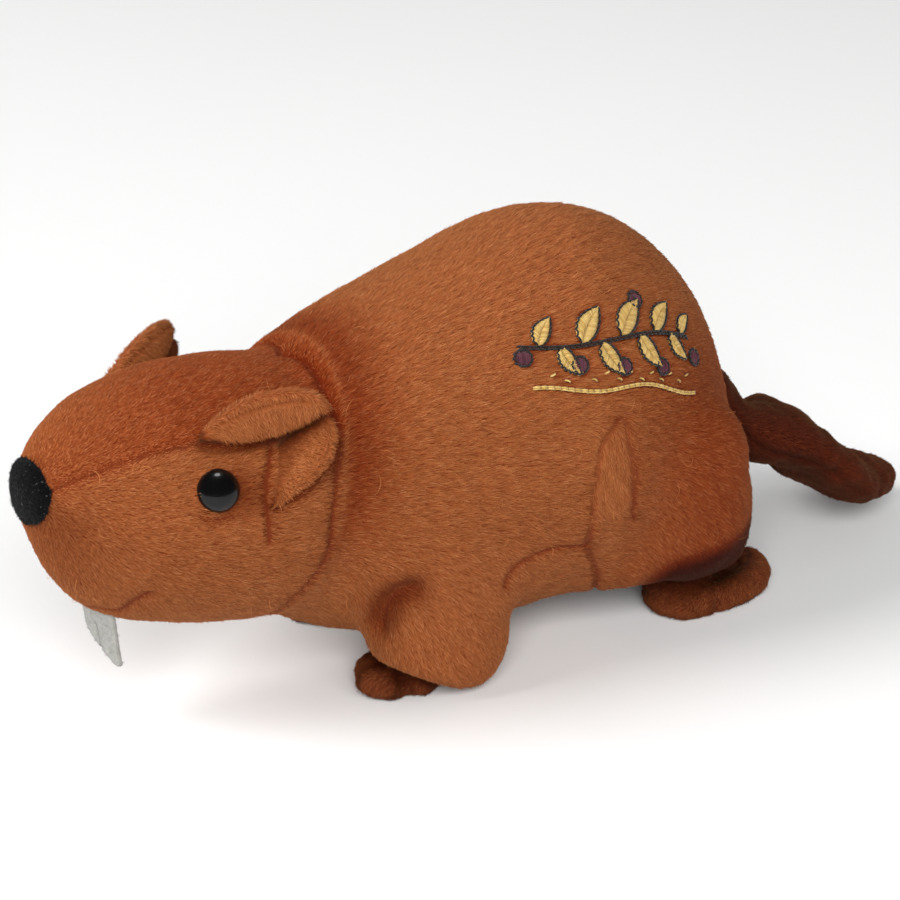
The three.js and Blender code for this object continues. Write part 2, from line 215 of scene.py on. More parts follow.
class Room:
    """Distances worked out on a grid of points, and read anywhere between them."""

    def __init__(self, low, high, pitch):
        self.low, self.pitch = np.array(low, float), pitch
        axes = [np.arange(a, b + pitch, pitch) for a, b in zip(low, high)]
        self.points = np.stack(np.meshgrid(*axes, indexing="ij"), -1)

    def far(self, level, mirror=False):
        """About how far each grid point is from the surface where level is 0."""
        points = np.abs(self.points * (1, 0, 0)) + self.points * (0, 1, 1) if mirror else self.points
        value = level(points)
        slope = np.sqrt(sum(g * g for g in np.gradient(value, self.pitch)))
        return value / np.maximum(slope, 1e-4)

    def read(self, values, p):
        at = np.clip((p - self.low) / self.pitch, 0, np.array(values.shape) - 1.001)
        i = at.astype(int)
        t = at - i
        total = 0
        for dx in (0, 1):
            for dy in (0, 1):
                for dz in (0, 1):
                    share = (
                        np.abs(1 - dx - t[..., 0]) * np.abs(1 - dy - t[..., 1])
                        * np.abs(1 - dz - t[..., 2])
                    )
                    total = total + share * values[i[..., 0] + dx, i[..., 1] + dy, i[..., 2] + dz]
        return total

    def skin(self, values):
        """The surface where values are 0, as points and four-sided faces."""
        inside = values < 0
        cells = tuple(n - 1 for n in values.shape)
        total, count = np.zeros((*cells, 3)), np.zeros(cells)
        faces = []
        number = np.arange(np.prod(cells)).reshape(cells)
        for axis in range(3):
            one, two = [a for a in range(3) if a != axis]
            near = [slice(None)] * 3
            away = [slice(None)] * 3
            near[axis], away[axis] = slice(0, -1), slice(1, None)
            a, b = values[tuple(near)], values[tuple(away)]
            cross = inside[tuple(near)] != inside[tuple(away)]
            with np.errstate(divide="ignore", invalid="ignore"):
                t = np.where(cross, a / (a - b), 0)
            spot = np.stack(np.indices(a.shape), -1).astype(float)
            spot[..., axis] += t
            for i in (0, 1):
                for j in (0, 1):
                    cut = [slice(None)] * 3
                    cut[one] = slice(i, a.shape[one] - 1 + i)
                    cut[two] = slice(j, a.shape[two] - 1 + j)
                    met = cross[tuple(cut)]
                    total += spot[tuple(cut)] * met[..., None]
                    count += met
            hit = np.argwhere(cross)
            hit = hit[(hit[:, one] > 0) & (hit[:, two] > 0)
                      & (hit[:, one] < cells[one]) & (hit[:, two] < cells[two])]
            ring = []
            for i, j in ((1, 1), (0, 1), (0, 0), (1, 0)):
                cell = hit.copy()
                cell[:, one] -= i
                cell[:, two] -= j
                ring.append(number[tuple(cell.T)])
            ring = np.stack(ring, 1)
            outward = inside[tuple(hit.T)] ^ (axis == 1)
            faces.append(np.where(outward[:, None], ring, ring[:, ::-1]))
        faces = np.concatenate(faces)
        used, faces = np.unique(faces, return_inverse=True)
        places = total.reshape(-1, 3)[used] / count.reshape(-1)[used][:, None]
        return places * self.pitch + self.low, faces.reshape(-1, 4)


def outward(points, faces):
    """A soft normal at every point of a mesh."""
    corners = points[faces]
    face = np.cross(corners[:, 2] - corners[:, 0], corners[:, -1] - corners[:, 1])
    total = np.zeros_like(points)
    for k in range(faces.shape[1]):
        for axis in range(3):
            total[:, axis] += np.bincount(faces[:, k], face[:, axis], len(points))
    return unit(total)


def near_line(p, line, reach):
    """How far every point is from a line of short straight steps, and its nearest place there."""
    order = np.argsort(p[:, 1])
    sorted_p = p[order]
    far, nearest = np.full(len(p), float(reach)), sorted_p.copy()
    for a, b in zip(line[:-1], line[1:]):
        edges = (min(a[1], b[1]) - reach, max(a[1], b[1]) + reach)
        low, high = np.searchsorted(sorted_p[:, 1], edges)
        part, step = sorted_p[low:high], b - a
        t = np.clip((part - a) @ step / (step @ step), 0, 1)
        foot = a + t[:, None] * step
        gap = np.linalg.norm(part - foot, axis=1)
        closer = gap < far[low:high]
        far[low:high] = np.where(closer, gap, far[low:high])
        nearest[low:high] = np.where(closer[:, None], foot, nearest[low:high])
    back = np.argsort(order)
    return far[back], nearest[back]


def ripple(p, size, seed):
    """Slow, even unevenness between about -1 and 1, with bumps about size across."""
    rng = np.random.default_rng(seed)
    waves = unit(rng.normal(size=(9, 3))) * rng.uniform(0.6, 1.5, (9, 1)) * 2 * np.pi / size
    return np.sin(p @ waves.T + rng.uniform(0, 2 * np.pi, 9)).sum(-1) / 4.5


def streaks(p, lay, size, seed):
    """Unevenness drawn out to three times its width along the lay of the pile."""
    share = lay ** 2
    return sum(
        share[:, axis] * ripple(p * np.where(np.arange(3) == axis, 0.3, 1.0), size, seed + axis)
        for axis in range(3)
    )


def smooth_line(stations, at):
    """A rounded line through stations, read at places 0 to 1."""
    p = np.array(stations, float)
    pad = np.vstack([2 * p[0] - p[1], p, 2 * p[-1] - p[-2]])
    s = np.asarray(at) * (len(p) - 1)
    i = np.clip(s.astype(int), 0, len(p) - 2)
    t = (s - i)[:, None]
    a, b, c, d = (pad[i + k] for k in range(4))
    return 0.5 * (2 * b + (c - a) * t + (2 * a - 5 * b + 4 * c - d) * t ** 2
                  + (3 * b - a - 3 * c + d) * t ** 3)


def tube(rings, first, last):
    """A closed skin round a row of rings, with a point at each end."""
    many, sides = rings.shape[:2]
    points = np.vstack([first, rings.reshape(-1, 3), last])
    grid = 1 + np.arange(many * sides).reshape(many, sides)
    turn = np.roll(grid, -1, 1)
    a, b, c, d = (part.ravel() for part in (grid[:-1], grid[1:], turn[1:], turn[:-1]))
    start, end = np.zeros(sides, int), np.full(sides, len(points) - 1)
    faces = np.concatenate([
        np.stack([a, b, c], 1), np.stack([a, c, d], 1),
        np.stack([start, grid[0], turn[0]], 1), np.stack([end, turn[-1], grid[-1]], 1),
    ])
    corners = points[faces] - points.mean(0)
    inside_out = np.einsum("ij,ij->i", corners[:, 0], np.cross(corners[:, 1], corners[:, 2])).sum() < 0
    return points, faces[:, ::-1] if inside_out else faces


# ---- finishes ---------------------------------------------------------------------------------
def shade(code):
    """A colour written as in a paint list, as the shader's own numbers."""
    parts = [int(code[i:i + 2], 16) / 255 for i in (1, 3, 5)]
    return (*(c / 12.92 if c < 0.04045 else ((c + 0.055) / 1.055) ** 2.4 for c in parts), 1)


class Wire:
    """One socket of a finish; sums on wires add Math nodes."""

    def __init__(self, finish, socket):
        self.finish, self.socket = finish, socket

    def _sum(self, operation, *values):
        return self.finish.node("Math", values, operation=operation)

    def __add__(self, other):
        return self._sum("ADD", self, other)

    def __sub__(self, other):
        return self._sum("SUBTRACT", self, other)

    def __rsub__(self, other):
        return self._sum("SUBTRACT", other, self)

    def __mul__(self, other):
        return self._sum("MULTIPLY", self, other)

    def __pow__(self, other):
        return self._sum("POWER", self, other)

    __radd__, __rmul__ = __add__, __mul__


class Finish:
    """A material whose nodes are written as expressions."""

    def __init__(self, name):
        self.material = bpy.data.materials.new(name)
        self.material.use_nodes = True
        self.tree = self.material.node_tree
        self.tree.nodes.clear()

    def node(self, kind, sockets=(), output=0, stops=(), **settings):
        """Adds one node: its settings first, then the values or wires of its sockets."""
        made = self.tree.nodes.new("ShaderNode" + kind)
        for key, value in settings.items():
            setattr(made, key, value)
        for _ in stops[2:]:
            made.color_ramp.elements.new(1)
        for i, (at, paint) in enumerate(stops):
            made.color_ramp.elements[i].position = at
            made.color_ramp.elements[i].color = paint
        for key, value in sockets.items() if isinstance(sockets, dict) else enumerate(sockets):
            if isinstance(value, Wire):
                self.tree.links.new(value.socket, made.inputs[key])
            else:
                made.inputs[key].default_value = value
        return Wire(self, made.outputs[output] if made.outputs else None)

    def blend(self, amount, first, second, how="MIX"):
        """A colour between two colours, or one multiplied by the other."""
        sockets = {0: amount, 6: first, 7: second}
        return self.node("Mix", sockets, output=2, data_type="RGBA", blend_type=how)

    def noise(self, size, detail=2.0, rough=0.5, stretch=(1, 1, 1)):
        """Soft noise, its spots about size millimetres across."""
        place = self.node("TexCoord", output=3)
        place = self.node("VectorMath", (place, tuple(stretch)), operation="MULTIPLY")
        sockets = {"Vector": place, "Scale": 1 / (size * MM), "Detail": detail, "Roughness": rough}
        return self.node("TexNoise", sockets)

    def layer(self, name):
        """The three numbers that a piece carries at each point."""
        read = self.node("Attribute", output=1, attribute_name=name)
        return [self.node("SeparateXYZ", (read,), output=k) for k in range(3)]

    def finish(self, **sockets):
        sockets = {key.replace("_", " "): value for key, value in sockets.items()}
        shader = self.node("BsdfPrincipled", sockets)
        self.node("OutputMaterial", (shader,))
        return self.material


def plush(name, root, body, tip, pale, top, crease_shade, sheen, sheen_tint):
    """Short pile: paler tips, painted shade at the roots, and redder painted shade in seams."""
    f = Finish(name)
    along, luck, clump = f.layer("strand")
    top_panel_and_painted_shade, painted_shade, pale_and_painted_highlight = f.layer("marks")
    # Darker towards the roots: painted shade between the tufts.
    pile = f.blend(along ** 0.8, root, f.blend(along, body, tip))
    value = 0.79 + 0.22 * luck + 0.2 * clump + 0.16 * (f.noise(9, 3, 0.6) - 0.5)
    # The top panel's own redder tone; the same mark also paints shade behind the neck and on the rump.
    pile = f.blend(top_panel_and_painted_shade, pile, f.blend(1.0, pile, top, "MULTIPLY"))
    # Paler tips on a few tufts: random tone, and painted highlights on the strands.
    pile = f.blend(f.node("MapRange", (luck, 0.8, 1.0)) * along * 0.45, pile, pale)
    # Painted shade in seams, creases and hollows, deeper where the mark goes over 1.
    pile = f.blend(painted_shade, pile, f.blend(1.0, pile, crease_shade, "MULTIPLY"))
    pile = f.blend(painted_shade - 1.0, pile, f.blend(1.0, pile, (0.3, 0.15, 0.1, 1), "MULTIPLY"))
    # Paler pile, and a painted highlight on the tail's fold.
    pile = f.blend(pale_and_painted_highlight, pile, tip)
    pile = f.blend(1.0, pile, f.node("CombineColor", (value, value, value)), "MULTIPLY")
    dents = f.node("Bump", {"Strength": 0.35, "Distance": 0.0003, "Height": f.noise(0.5, 3, 0.6)})
    return f.finish(
        Base_Color=pile, Roughness=0.85, Normal=dents,
        Sheen_Weight=sheen, Sheen_Roughness=0.45, Sheen_Tint=sheen_tint, Specular_IOR_Level=0.2,
    )


def tan_plush():
    return plush(
        "tan plush", shade("#642610"), shade("#8f4622"), shade("#aa6739"), shade("#cb9466"),
        # The top panel's tone, which also paints shade behind the neck and on the rump, then the colour
        # of the painted shade in seams and creases.
        (0.82, 0.52, 0.36, 1), (0.44, 0.24, 0.16, 1), 0.1, shade("#d0a680"),
    )


def tail_plush():
    return plush(
        "dark tail plush", shade("#250903"), shade("#3f1205"), shade("#592412"), shade("#784228"),
        # No top panel tone, then the colour of the painted shade in the rim seam and the hollows.
        (1, 1, 1, 1), (0.42, 0.34, 0.3, 1), 0.28, shade("#8e7048"),
    )


def paw_plush():
    return plush(
        "dark paw plush", shade("#321208"), shade("#632b17"), shade("#874626"), shade("#a87044"),
        # No top panel tone, then the colour of the painted shade under the hem, in the hollows and in the
        # trough.
        (1, 1, 1, 1), (0.36, 0.28, 0.24, 1), 0.14, shade("#9c7048"),
    )


def felt(name, dark, pale, fleck, lift, sheen):
    """Pressed wool felt: short crossing fibres and soft mottling."""
    f = Finish(name)
    fibres = f.noise(0.35, 4, 0.7, (1, 1, 0.35))
    cross = f.noise(0.45, 4, 0.7, (0.35, 1, 1))
    cloud = f.noise(2.6, 3, 0.6)
    weave = 0.5 * fibres + 0.5 * cross
    paint = f.blend(f.node("MapRange", (weave * 0.7 + 0.3 * cloud, 0.36, 0.64)), dark, pale)
    spots = f.node("MapRange", (f.noise(0.55, 2), 0.66, 0.74))
    paint = f.blend(spots * 0.7, paint, fleck)
    dents = f.node("Bump", {"Strength": lift, "Distance": 0.0004, "Height": weave})
    return f.finish(
        Base_Color=paint, Roughness=0.95, Normal=dents,
        Sheen_Weight=sheen, Sheen_Roughness=0.5, Specular_IOR_Level=0.15,
    )


def black_bead():
    """Moulded black plastic with a high polish and the faintest handling marks."""
    f = Finish("black bead")
    haze = f.node("MapRange", (f.noise(1.4, 4, 0.65), 0.45, 0.8, 0.3, 0.36))
    body = f.blend(f.noise(3, 2), shade("#050506"), shade("#09090a"))
    return f.finish(
        Base_Color=body, Roughness=haze, IOR=1.25, Coat_Weight=0.35, Coat_Roughness=0.1, Coat_IOR=1.5,
    )


def thread(name, dark, pale):
    """Shiny embroidery thread, each length a little different from the next."""
    f = Finish(name)
    along, luck, _ = f.layer("strand")
    ply = f.noise(0.16, 2, 0.5)
    paint = f.blend(0.25 * ply + 0.55 * luck + 0.2 * along, dark, pale)
    dents = f.node("Bump", {"Strength": 0.3, "Distance": 0.0001, "Height": ply})
    return f.finish(
        Base_Color=paint, Roughness=0.42, Normal=dents, Sheen_Weight=0.15, Sheen_Roughness=0.4,
        Specular_IOR_Level=0.45,
    )


# ---- making pieces ----------------------------------------------------------------------------
def piece(name, points, faces, finish, layers=(), nodes=(), normals=None, bake=None):
    """A mesh in the frame, riding on the toy; points are in model millimetres."""
    mesh = bpy.data.meshes.new(name)
    sides = faces.shape[1]
    mesh.vertices.add(len(points))
    mesh.vertices.foreach_set("co", metres(points).astype(np.float32).ravel())
    mesh.loops.add(faces.size)
    mesh.loops.foreach_set("vertex_index", faces.astype(np.int32).ravel())
    mesh.polygons.add(len(faces))
    mesh.polygons.foreach_set("loop_start", np.arange(len(faces), dtype=np.int32) * sides)
    mesh.polygons.foreach_set("use_smooth", np.ones(len(faces), dtype=bool))
    mesh.update(calc_edges=True)
    for layer, values in dict(layers).items():
        made = mesh.attributes.new(layer, "FLOAT_VECTOR", "POINT")
        made.data.foreach_set("vector", np.asarray(values, np.float32).ravel())
    if bake is not None:
        mesh.uv_layers.new(name="OFBake").data.foreach_set("uv", bake.astype(np.float32).ravel())
    if normals is not None:
        mesh.normals_split_custom_set_from_vertices(normals)
    mesh.materials.append(finish)
    made = bpy.data.objects.new(name, mesh)
    bpy.context.scene.collection.objects.link(made)
    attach(made, "root")
    if nodes:
        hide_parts(*nodes)
    return made


def mirrored(points, faces):
    return points * (-1, 1, 1), faces[:, ::-1]


def around(points, centre, axis):
    """Unrolls places round an axis: the turn, 0 to 1, and the place along it."""
    q = points - centre
    one, two = [a for a in range(3) if a != axis]
    return np.arctan2(q[..., one], -q[..., two]) / (2 * np.pi) + 0.5, points[..., axis]


def unrolled(points, faces, centre, axis, box):
    """A bake map for a skin: unrolled round its axis into box, with no face torn at the join."""
    turn, along = around(points, centre, axis)
    corners = turn[faces]
    middle = corners[:, :1]
    corners = middle + (corners - middle + 0.5) % 1 - 0.5
    low, high = along.min(), along.max()
    v = (along[faces] - low) / (high - low)
    x0, y0, x1, y1 = box
    return np.stack([x0 + (x1 - x0) * np.clip(corners, 0, 1), y0 + (y1 - y0) * v], -1).reshape(-1, 2)


# The skin takes the dark root colour, the painted shade between the tufts.
SKIN_STRAND = (0.12, 0.5, 0.5)        # the skin is coloured as the foot of an ordinary tuft
WHOLE_MAP = (0.01, 0.01, 0.99, 0.99)  # the part of the bake map that one unrolled skin fills
PATCH = 0.003                         # how wide each tuft's patch is on the bake map


def padded(name, points, faces, finish, marks, nodes, bake):
    """A stuffed skin, which the pile grows on."""
    layers = {"strand": np.tile(SKIN_STRAND, (len(points), 1)), "marks": marks}
    made = piece(name, points, faces, finish, layers, nodes, bake=bake)


def sown(rng, points, faces, density):
    """Places scattered over a mesh: for each, the corners of its triangle and their shares."""
    tris = np.concatenate([faces[:, :3], faces[:, [0, 2, 3]]]) if faces.shape[1] == 4 else faces
    corner = points[tris]
    area = np.linalg.norm(np.cross(corner[:, 1] - corner[:, 0], corner[:, 2] - corner[:, 0]), axis=1) / 2
    count = np.floor(area * density[tris].mean(1) + rng.random(len(tris))).astype(int)
    owner = np.repeat(np.arange(len(tris)), count)
    a, b = rng.random((2, len(owner)))
    over = a + b > 1
    a, b = np.where(over, 1 - a, a), np.where(over, 1 - b, b)
    return tris[owner], np.stack([1 - a - b, a, b], 1)


class Pile:
    """Tufts sown over a skin, each a small folded leaf lying along the nap.

    Density is tufts to the square millimetre, and rise is in degrees over the skin.
    """

    def __init__(self, seed, points, faces, lay, marks, keep, density, length, width, rise, stray=0.16):
        rng = np.random.default_rng(seed)
        normals = outward(points, faces)
        lay = unit(lay - (lay * normals).sum(1, keepdims=True) * normals)

        def all_over(values):
            """A value for every point, from one number or from a row of them."""
            return np.broadcast_to(values, (len(points), *np.shape(values)[1:]))

        ids, share = sown(rng, points, faces, all_over(keep * density))

        def at(values):
            return np.einsum("ij,ij...->i...", share, all_over(values)[ids])

        many = len(ids)
        self.root = root = at(points)
        n, t = unit(at(normals)), unit(at(lay))
        s = np.cross(n, t)
        sway = 0.2 * streaks(root, t, 2.6, seed + 1) + 0.14 * streaks(root, t, 1.2, seed + 5)
        sway = sway + rng.normal(0, stray, many)
        clump = 0.5 + 0.5 * streaks(root, t, 1.5, seed + 9)
        t, s = (t * np.cos(sway)[:, None] + s * np.sin(sway)[:, None],
                s * np.cos(sway)[:, None] - t * np.sin(sway)[:, None])
        long = at(length) * rng.uniform(0.75, 1.2, many) * (0.85 + 0.3 * clump)
        broad = at(width) * rng.uniform(0.7, 1.3, many)
        up = np.radians(at(rise) + 8 * (clump - 0.5) + rng.normal(0, 4, many))
        tip = root + long[:, None] * (np.cos(up)[:, None] * t + np.sin(up)[:, None] * n)
        half = broad[:, None] / 2 * s
        sunk = root - 0.15 * n
        ridge = root + (0.25 * broad)[:, None] * n
        self.points = np.stack([sunk - half, ridge, sunk + half, tip], 1)
        face = unit(np.cross(tip - sunk, half))
        face = np.where((face * n).sum(1, keepdims=True) < 0, -face, face)
        base = n + 0.3 * face + rng.normal(0, 0.08, (many, 3))
        self.normals = np.stack([unit(base - 0.4 * s), unit(base), unit(base + 0.4 * s), unit(base)], 1)
        chance = rng.random(many)
        zero, one = np.zeros(many), np.ones(many)
        self.strand = np.stack([
            np.stack([level, chance, clump], -1) for level in (zero, 0.3 * one, zero, one)
        ], 1)
        self.marks = np.repeat(at(marks)[:, None], 4, 1)
        self.points[..., 2] = np.maximum(self.points[..., 2], 0.05)

    def make(self, name, centre, axis, finish, pick=None):
        """One coat piece from all the tufts, or from the picked ones."""
        pick = np.ones(len(self.root), bool) if pick is None else pick
        first = np.arange(pick.sum())[:, None] * 4
        faces = (first[:, :, None] + np.array([[0, 3, 1], [2, 1, 3]])[None]).reshape(-1, 3)
        turn, along = around(self.root[pick], centre, axis)
        along = (along - along.min()) / max(np.ptp(along), 1e-6)
        spot = np.stack([0.01 + 0.975 * turn, 0.01 + 0.975 * along], -1)
        corner = PATCH * np.array([(0, 0), (1, 0.5), (0, 0.5), (0, 1), (0, 0.5), (1, 0.5)])
        bake = (spot[:, None] + corner[None]).reshape(-1, 2)
        layers = {
            "strand": self.strand[pick].reshape(-1, 3), "marks": self.marks[pick].reshape(-1, 3)
        }
        return piece(
            name, self.points[pick].reshape(-1, 3), faces, finish, layers,
            normals=self.normals[pick].reshape(-1, 3), bake=bake,
        )


# ---- the stuffed body -------------------------------------------------------------------------
# On the left side, mirrored on the right: the line, the half width and depth of the groove, how
# dark the painted shadow along the stitched line is, and how dark and how wide the painted shade
# on both sides of it is. The last is a dent in the chest, with painted shade only.
SEAMS = [
    ([(0, -29, 74.6), (3, -27.7, 74.2), (9, -26.8, 73.1), (16.8, -27.5, 68.4), (21.9, -27.9, 62.9),
      (26.6, -31.3, 55.8), (28.7, -33.4, 48.6), (27.9, -34.8, 38.1), (25.5, -39.2, 31.8),
      (21.7, -41.7, 27.2), (11, -43.5, 21.5), (0, -44, 20)], 0.7, 1.1, 1.7, 0.4, 2.2),
    ([(6.6, -88.4, 57.5), (8.4, -86, 59.2), (13.3, -79.2, 62.9), (16.9, -70.5, 65.7),
      (19.8, -59.2, 67.2), (20.5, -53.6, 67.3), (20.8, -45, 66.5), (21.2, -36, 65),
      (21.5, -28.5, 63.4)], 0.5, 0.3, 0.35, 0.05, 1.2),
    ([(21.8, -43.8, 66.3), (24.9, -46.8, 61), (27.4, -48.8, 56.8), (28.7, -49.3, 52.1),
      (29.3, -49.4, 46.5)], 0.5, 1.1, 1.9, 0.3, 1.1),
    ([(0, -78.5, 30.4), (8.4, -77.3, 30.6), (11.5, -75, 31), (15.6, -74, 34), (19.4, -72.1, 37)],
     0.6, 0.6, 1.0, 0.2, 1.5),
    ([(30.5, 5.5, 24), (33.7, 8.9, 28.2), (35.5, 17.1, 30.7), (35.8, 25.8, 29.3)],
     0.7, 0.6, 1.1, 0.25, 1.6),
    ([(38, 31.2, 58.2), (38.6, 27.2, 54), (38.8, 25.8, 50.2), (38.8, 24.8, 42.1), (37, 25.2, 34),
      (35.5, 26, 28.5), (30.6, 31.6, 19.9), (23, 36.5, 13)], 0.65, 0.6, 1.2, 0.2, 1.4),
    ([(38.1, 33, 57.8), (39, 34.1, 51.5), (39.4, 35.1, 44.9), (39, 35.2, 38), (38.1, 36, 34)],
     0.6, 0.5, 0.5, 0.25, 2.0),
    ([(25.7, -62.7, 54.2), (26.7, -60.6, 52.7), (27.4, -57.3, 53)], 0.7, 0.5, 0.7, 0.15, 1.2),
    ([(20.6, -57.4, 66.8), (21.6, -52.5, 66), (22, -47.8, 65.8), (22.3, -42.9, 66.3),
      (22.4, -38.6, 67.6)], 1.9, 1.6, 2.0, 0.5, 2.2),
    ([(22.7, -28.1, 61.5), (24.6, -30.7, 59.6), (27.3, -36.1, 56.3), (28.4, -41.9, 54.1),
      (28.6, -47, 53)], 0.9, 0.8, 0.9, 0.2, 1.4),
    ([(26.6, -20.8, 20.5), (28.2, -21, 24.6), (30.2, -19.6, 27.4), (32, -16.6, 28.6)],
     2.8, 2.5, 0.0, 1.3, 3.2),
]
SEAM_REACH = 8.0
PAW_TOES = [((16.4, -17, 3.2), 2.8), ((20.6, -19.4, 3.6), 3.1), ((24.8, -17.3, 3.2), 3),
            ((26, -10.5, 2.8), 2.8), ((24, -15, 9), 2.6)]
FOOT_ROLL = [(19.5, 58.6, 2.7), (24.5, 57.6, 2.7), (27.9, 60, 2.8), (28.6, 66, 3.1),
             (28.4, 73, 3.5), (26.8, 79, 4), (24, 82.4, 4.5), (20.5, 83.3, 4.8)]
EAR_EDGE = smooth_line(EAR_LOWER["rim"][1:], np.linspace(0, 1, 30))
FOOT_LINE = smooth_line(FOOT_ROLL, np.linspace(0, 1, 40))
ROLL_RADII = np.linspace(2.8, 3.8, len(FOOT_LINE))
FOOT_NOTCH = (32, 66.5, 2.2)
TUCKED = 0.9              # how far mitts and soles are tucked up under the body's pile
EYE_DENT = 5.5            # how far round the bead the skin is drawn in
ROOM = Room((-44, -93, -1), (44, 88, 99), 0.9)


def neck_side(p):
    """Over 0 behind the neck seam, under 0 on the head."""
    rise = p[..., 2] - NECK["z"]
    return (p[..., 1] - NECK["y"] - NECK["slope"] * rise) / math.hypot(1, NECK["slope"])


def stuffed():
    """Distances from the whole stuffed body, out to the tips of its pile, over the room."""
    y, z = ROOM.points[..., 1], ROOM.points[..., 2]
    whole = soften(ROOM.far(loft_level(HEAD)), ROOM.far(loft_level(TRUNK)), 2.5)
    for side, back in ((1, 0), (-1, RIGHT_LEG_BACK)):
        leg = ROOM.far(lambda p: leg_level(FRONT_LEG)(p * (side, 1, 1) - (0, back, 0)))
        hem = (HEM["z"] - HEM["slope"] * (y - back - HEM["y"]) - z) / math.hypot(1, HEM["slope"])
        whole = soften(whole, trimmed(leg, hem, 2.4), 5.5)
    haunch = soften(*(ROOM.far(lump_level(form), mirror=True) for form in (THIGH, HEEL)), 5)
    return soften(whole, haunch, 3.5)


BODY = stuffed()


def off_body(p):
    """How far places are outside the tips of the body's pile; less than 0 inside."""
    return ROOM.read(BODY, np.asarray(p, float))


def body_normal(p):
    p = np.asarray(p, float)
    step = np.eye(3) * 0.6
    return unit(np.stack([off_body(p + e) - off_body(p - e) for e in step], -1))


def onto_body(p, height=0.0):
    """The nearest places at that height over the pile's tips."""
    p = np.asarray(p, float)
    for _ in range(4):
        p = p - (off_body(p) - height)[..., None] * body_normal(p)
    return p


def eye_seat(side):
    """The middle of the bead and the direction it looks in."""
    mid, up, wide, lean = (knots(HEAD[k]) for k in ("mid", "up", "wide", "lean"))
    s, turn = EYE["along"], math.radians(EYE["angle"])
    full = (1 - abs(2 * s - 1) ** HEAD["front"]) ** (1 / HEAD["front"])
    rise = up(s) * full * math.sin(turn)
    y = HEAD["start"] + (HEAD["end"] - HEAD["start"]) * s + lean(s) * rise / LEAN_HEIGHT
    place = np.array([wide(s) * full * math.cos(turn), y, mid(s) + rise])
    out = body_normal(place)
    return (place + EYE["out"] * out) * (side, 1, 1), out * (side, 1, 1)


def flank_panel(wide, y, z):
    """How far a place is inside the narrow panel let into the flank."""
    return ease(23, 26, y) * ease(38, 32.5, y) * ease(60, 54, z) * ease(30, 46, z) * ease(24, 30, wide)


def nap(p):
    """The way the pile lies: back from the nose, along the body, down the legs and haunches."""
    x, y, z = p.T
    side, wide = np.sign(x), np.abs(x)

    def turned(lay, amount, to):
        return lay * (1 - amount)[:, None] + amount[:, None] * np.stack([v + 0 * x for v in to], 1)

    lay = turned(np.zeros_like(p), 1 + 0 * x, (0, 1, -0.06))
    snout = ease(-66, -84, y)
    lay = lay * (1 - snout)[:, None] + snout[:, None] * unit(p - (0, NOSE["y"] + 2, NOSE["z"]))
    lay = lay + (ease(40, 26, z) * ease(-30, -40, y))[:, None] * np.stack(
        [-0.35 * side, 0 * x, -0.25 + 0 * x], 1)
    lay = turned(lay, ease(46, 14, z) * ease(10, 16, wide) * ease(24, 8, y) * ease(-32, -24, y),
                 (0.1 * side, 0.55, -1))
    lay = turned(lay, flank_panel(wide, y, z), (0, 0.05, -1))
    lay = turned(lay, ease(36, 44, y) * ease(60, 30, z) * ease(12, 24, wide), (0, 0.7, -0.8))
    return turned(lay, 0.8 * ease(62, 82, y), (0, 0.3, -1))


def seam_lines():
    """The seams as fine lines laid on the skin."""
    lines = []
    for stations, *_ in SEAMS:
        line = smooth_line(stations, np.linspace(0, 1, 6 * len(stations)))
        lines.append(onto_body(line, -PILE_DEPTH))
    return lines


LINES = seam_lines()
TOP_SEAM = np.array([(-88, 57.5), (-86, 59.2), (-79, 62.9), (-70.5, 65.7), (-59, 67.2),
                     (-53.6, 67.3), (-28, 63.4)]).T


def body_marks(p):
    """How much each place takes the top panel's tone, painted shade and paler pile."""
    left = folded(p)
    x, y, z = left.T
    behind = neck_side(left) - 1.5
    top = ease(-0.5, 0.5, z - np.interp(y, *TOP_SEAM)) * ease(0.7, -0.7, behind)
    top *= 0.45 + 0.55 * ease(-84, -52, y)
    # Painted shade in the valley behind the neck seam, in the top panel's redder tone.
    top += 0.95 * ease(0, 1.2, behind) * np.exp(-((behind / 9) ** 2)) * ease(30, 50, z)
    # Painted shade over the rump and the low back end, where less light reaches.
    rear = ease(26, 60, y) * ease(80, 52, z)
    top += 0.75 * rear
    crease_shade = 0.36 * rear
    # A painted shadow along each stitched line and painted shade on both sides of it.
    for line, (_, width, _, dark, shading, reach) in zip(LINES, SEAMS):
        far, _ = near_line(left, line, SEAM_REACH)
        crease_shade += dark * np.exp(-((far / (0.55 * width)) ** 2)) + shading * np.exp(-((far / reach) ** 2))
    # Painted shade behind the neck, below and behind the eye, under the lower ear lobe's rim, under the
    # snout and on the haunch just above the hind foot.
    crease_shade += 0.55 * ease(0, 1.2, behind) * np.exp(-((behind / 8) ** 2)) * ease(36, 56, z)
    centre, _ = eye_seat(1)
    crease_shade += 0.7 * np.exp(-((np.linalg.norm(left - centre - (0.6, 4.6, -1.2), axis=1) / 5.4) ** 4))
    crease_shade += 0.8 * np.exp(-((near_line(left, EAR_EDGE, SEAM_REACH)[0] / 1.7) ** 2))
    crease_shade += 0.45 * ease(-76, -87, y) * ease(59, 50, z)
    foot_shade = 15.5 + 0.13 * (y - 50)
    crease_shade += 1.9 * ease(foot_shade + 7, foot_shade - 1, z) * ease(42, 52, y)
    # Paler pile on the flank panel.
    pale_and_painted_highlight = 0.2 * flank_panel(x, y, z)
    return np.stack([np.clip(top, 0, 1), np.clip(crease_shade, 0, 2), pale_and_painted_highlight], 1)


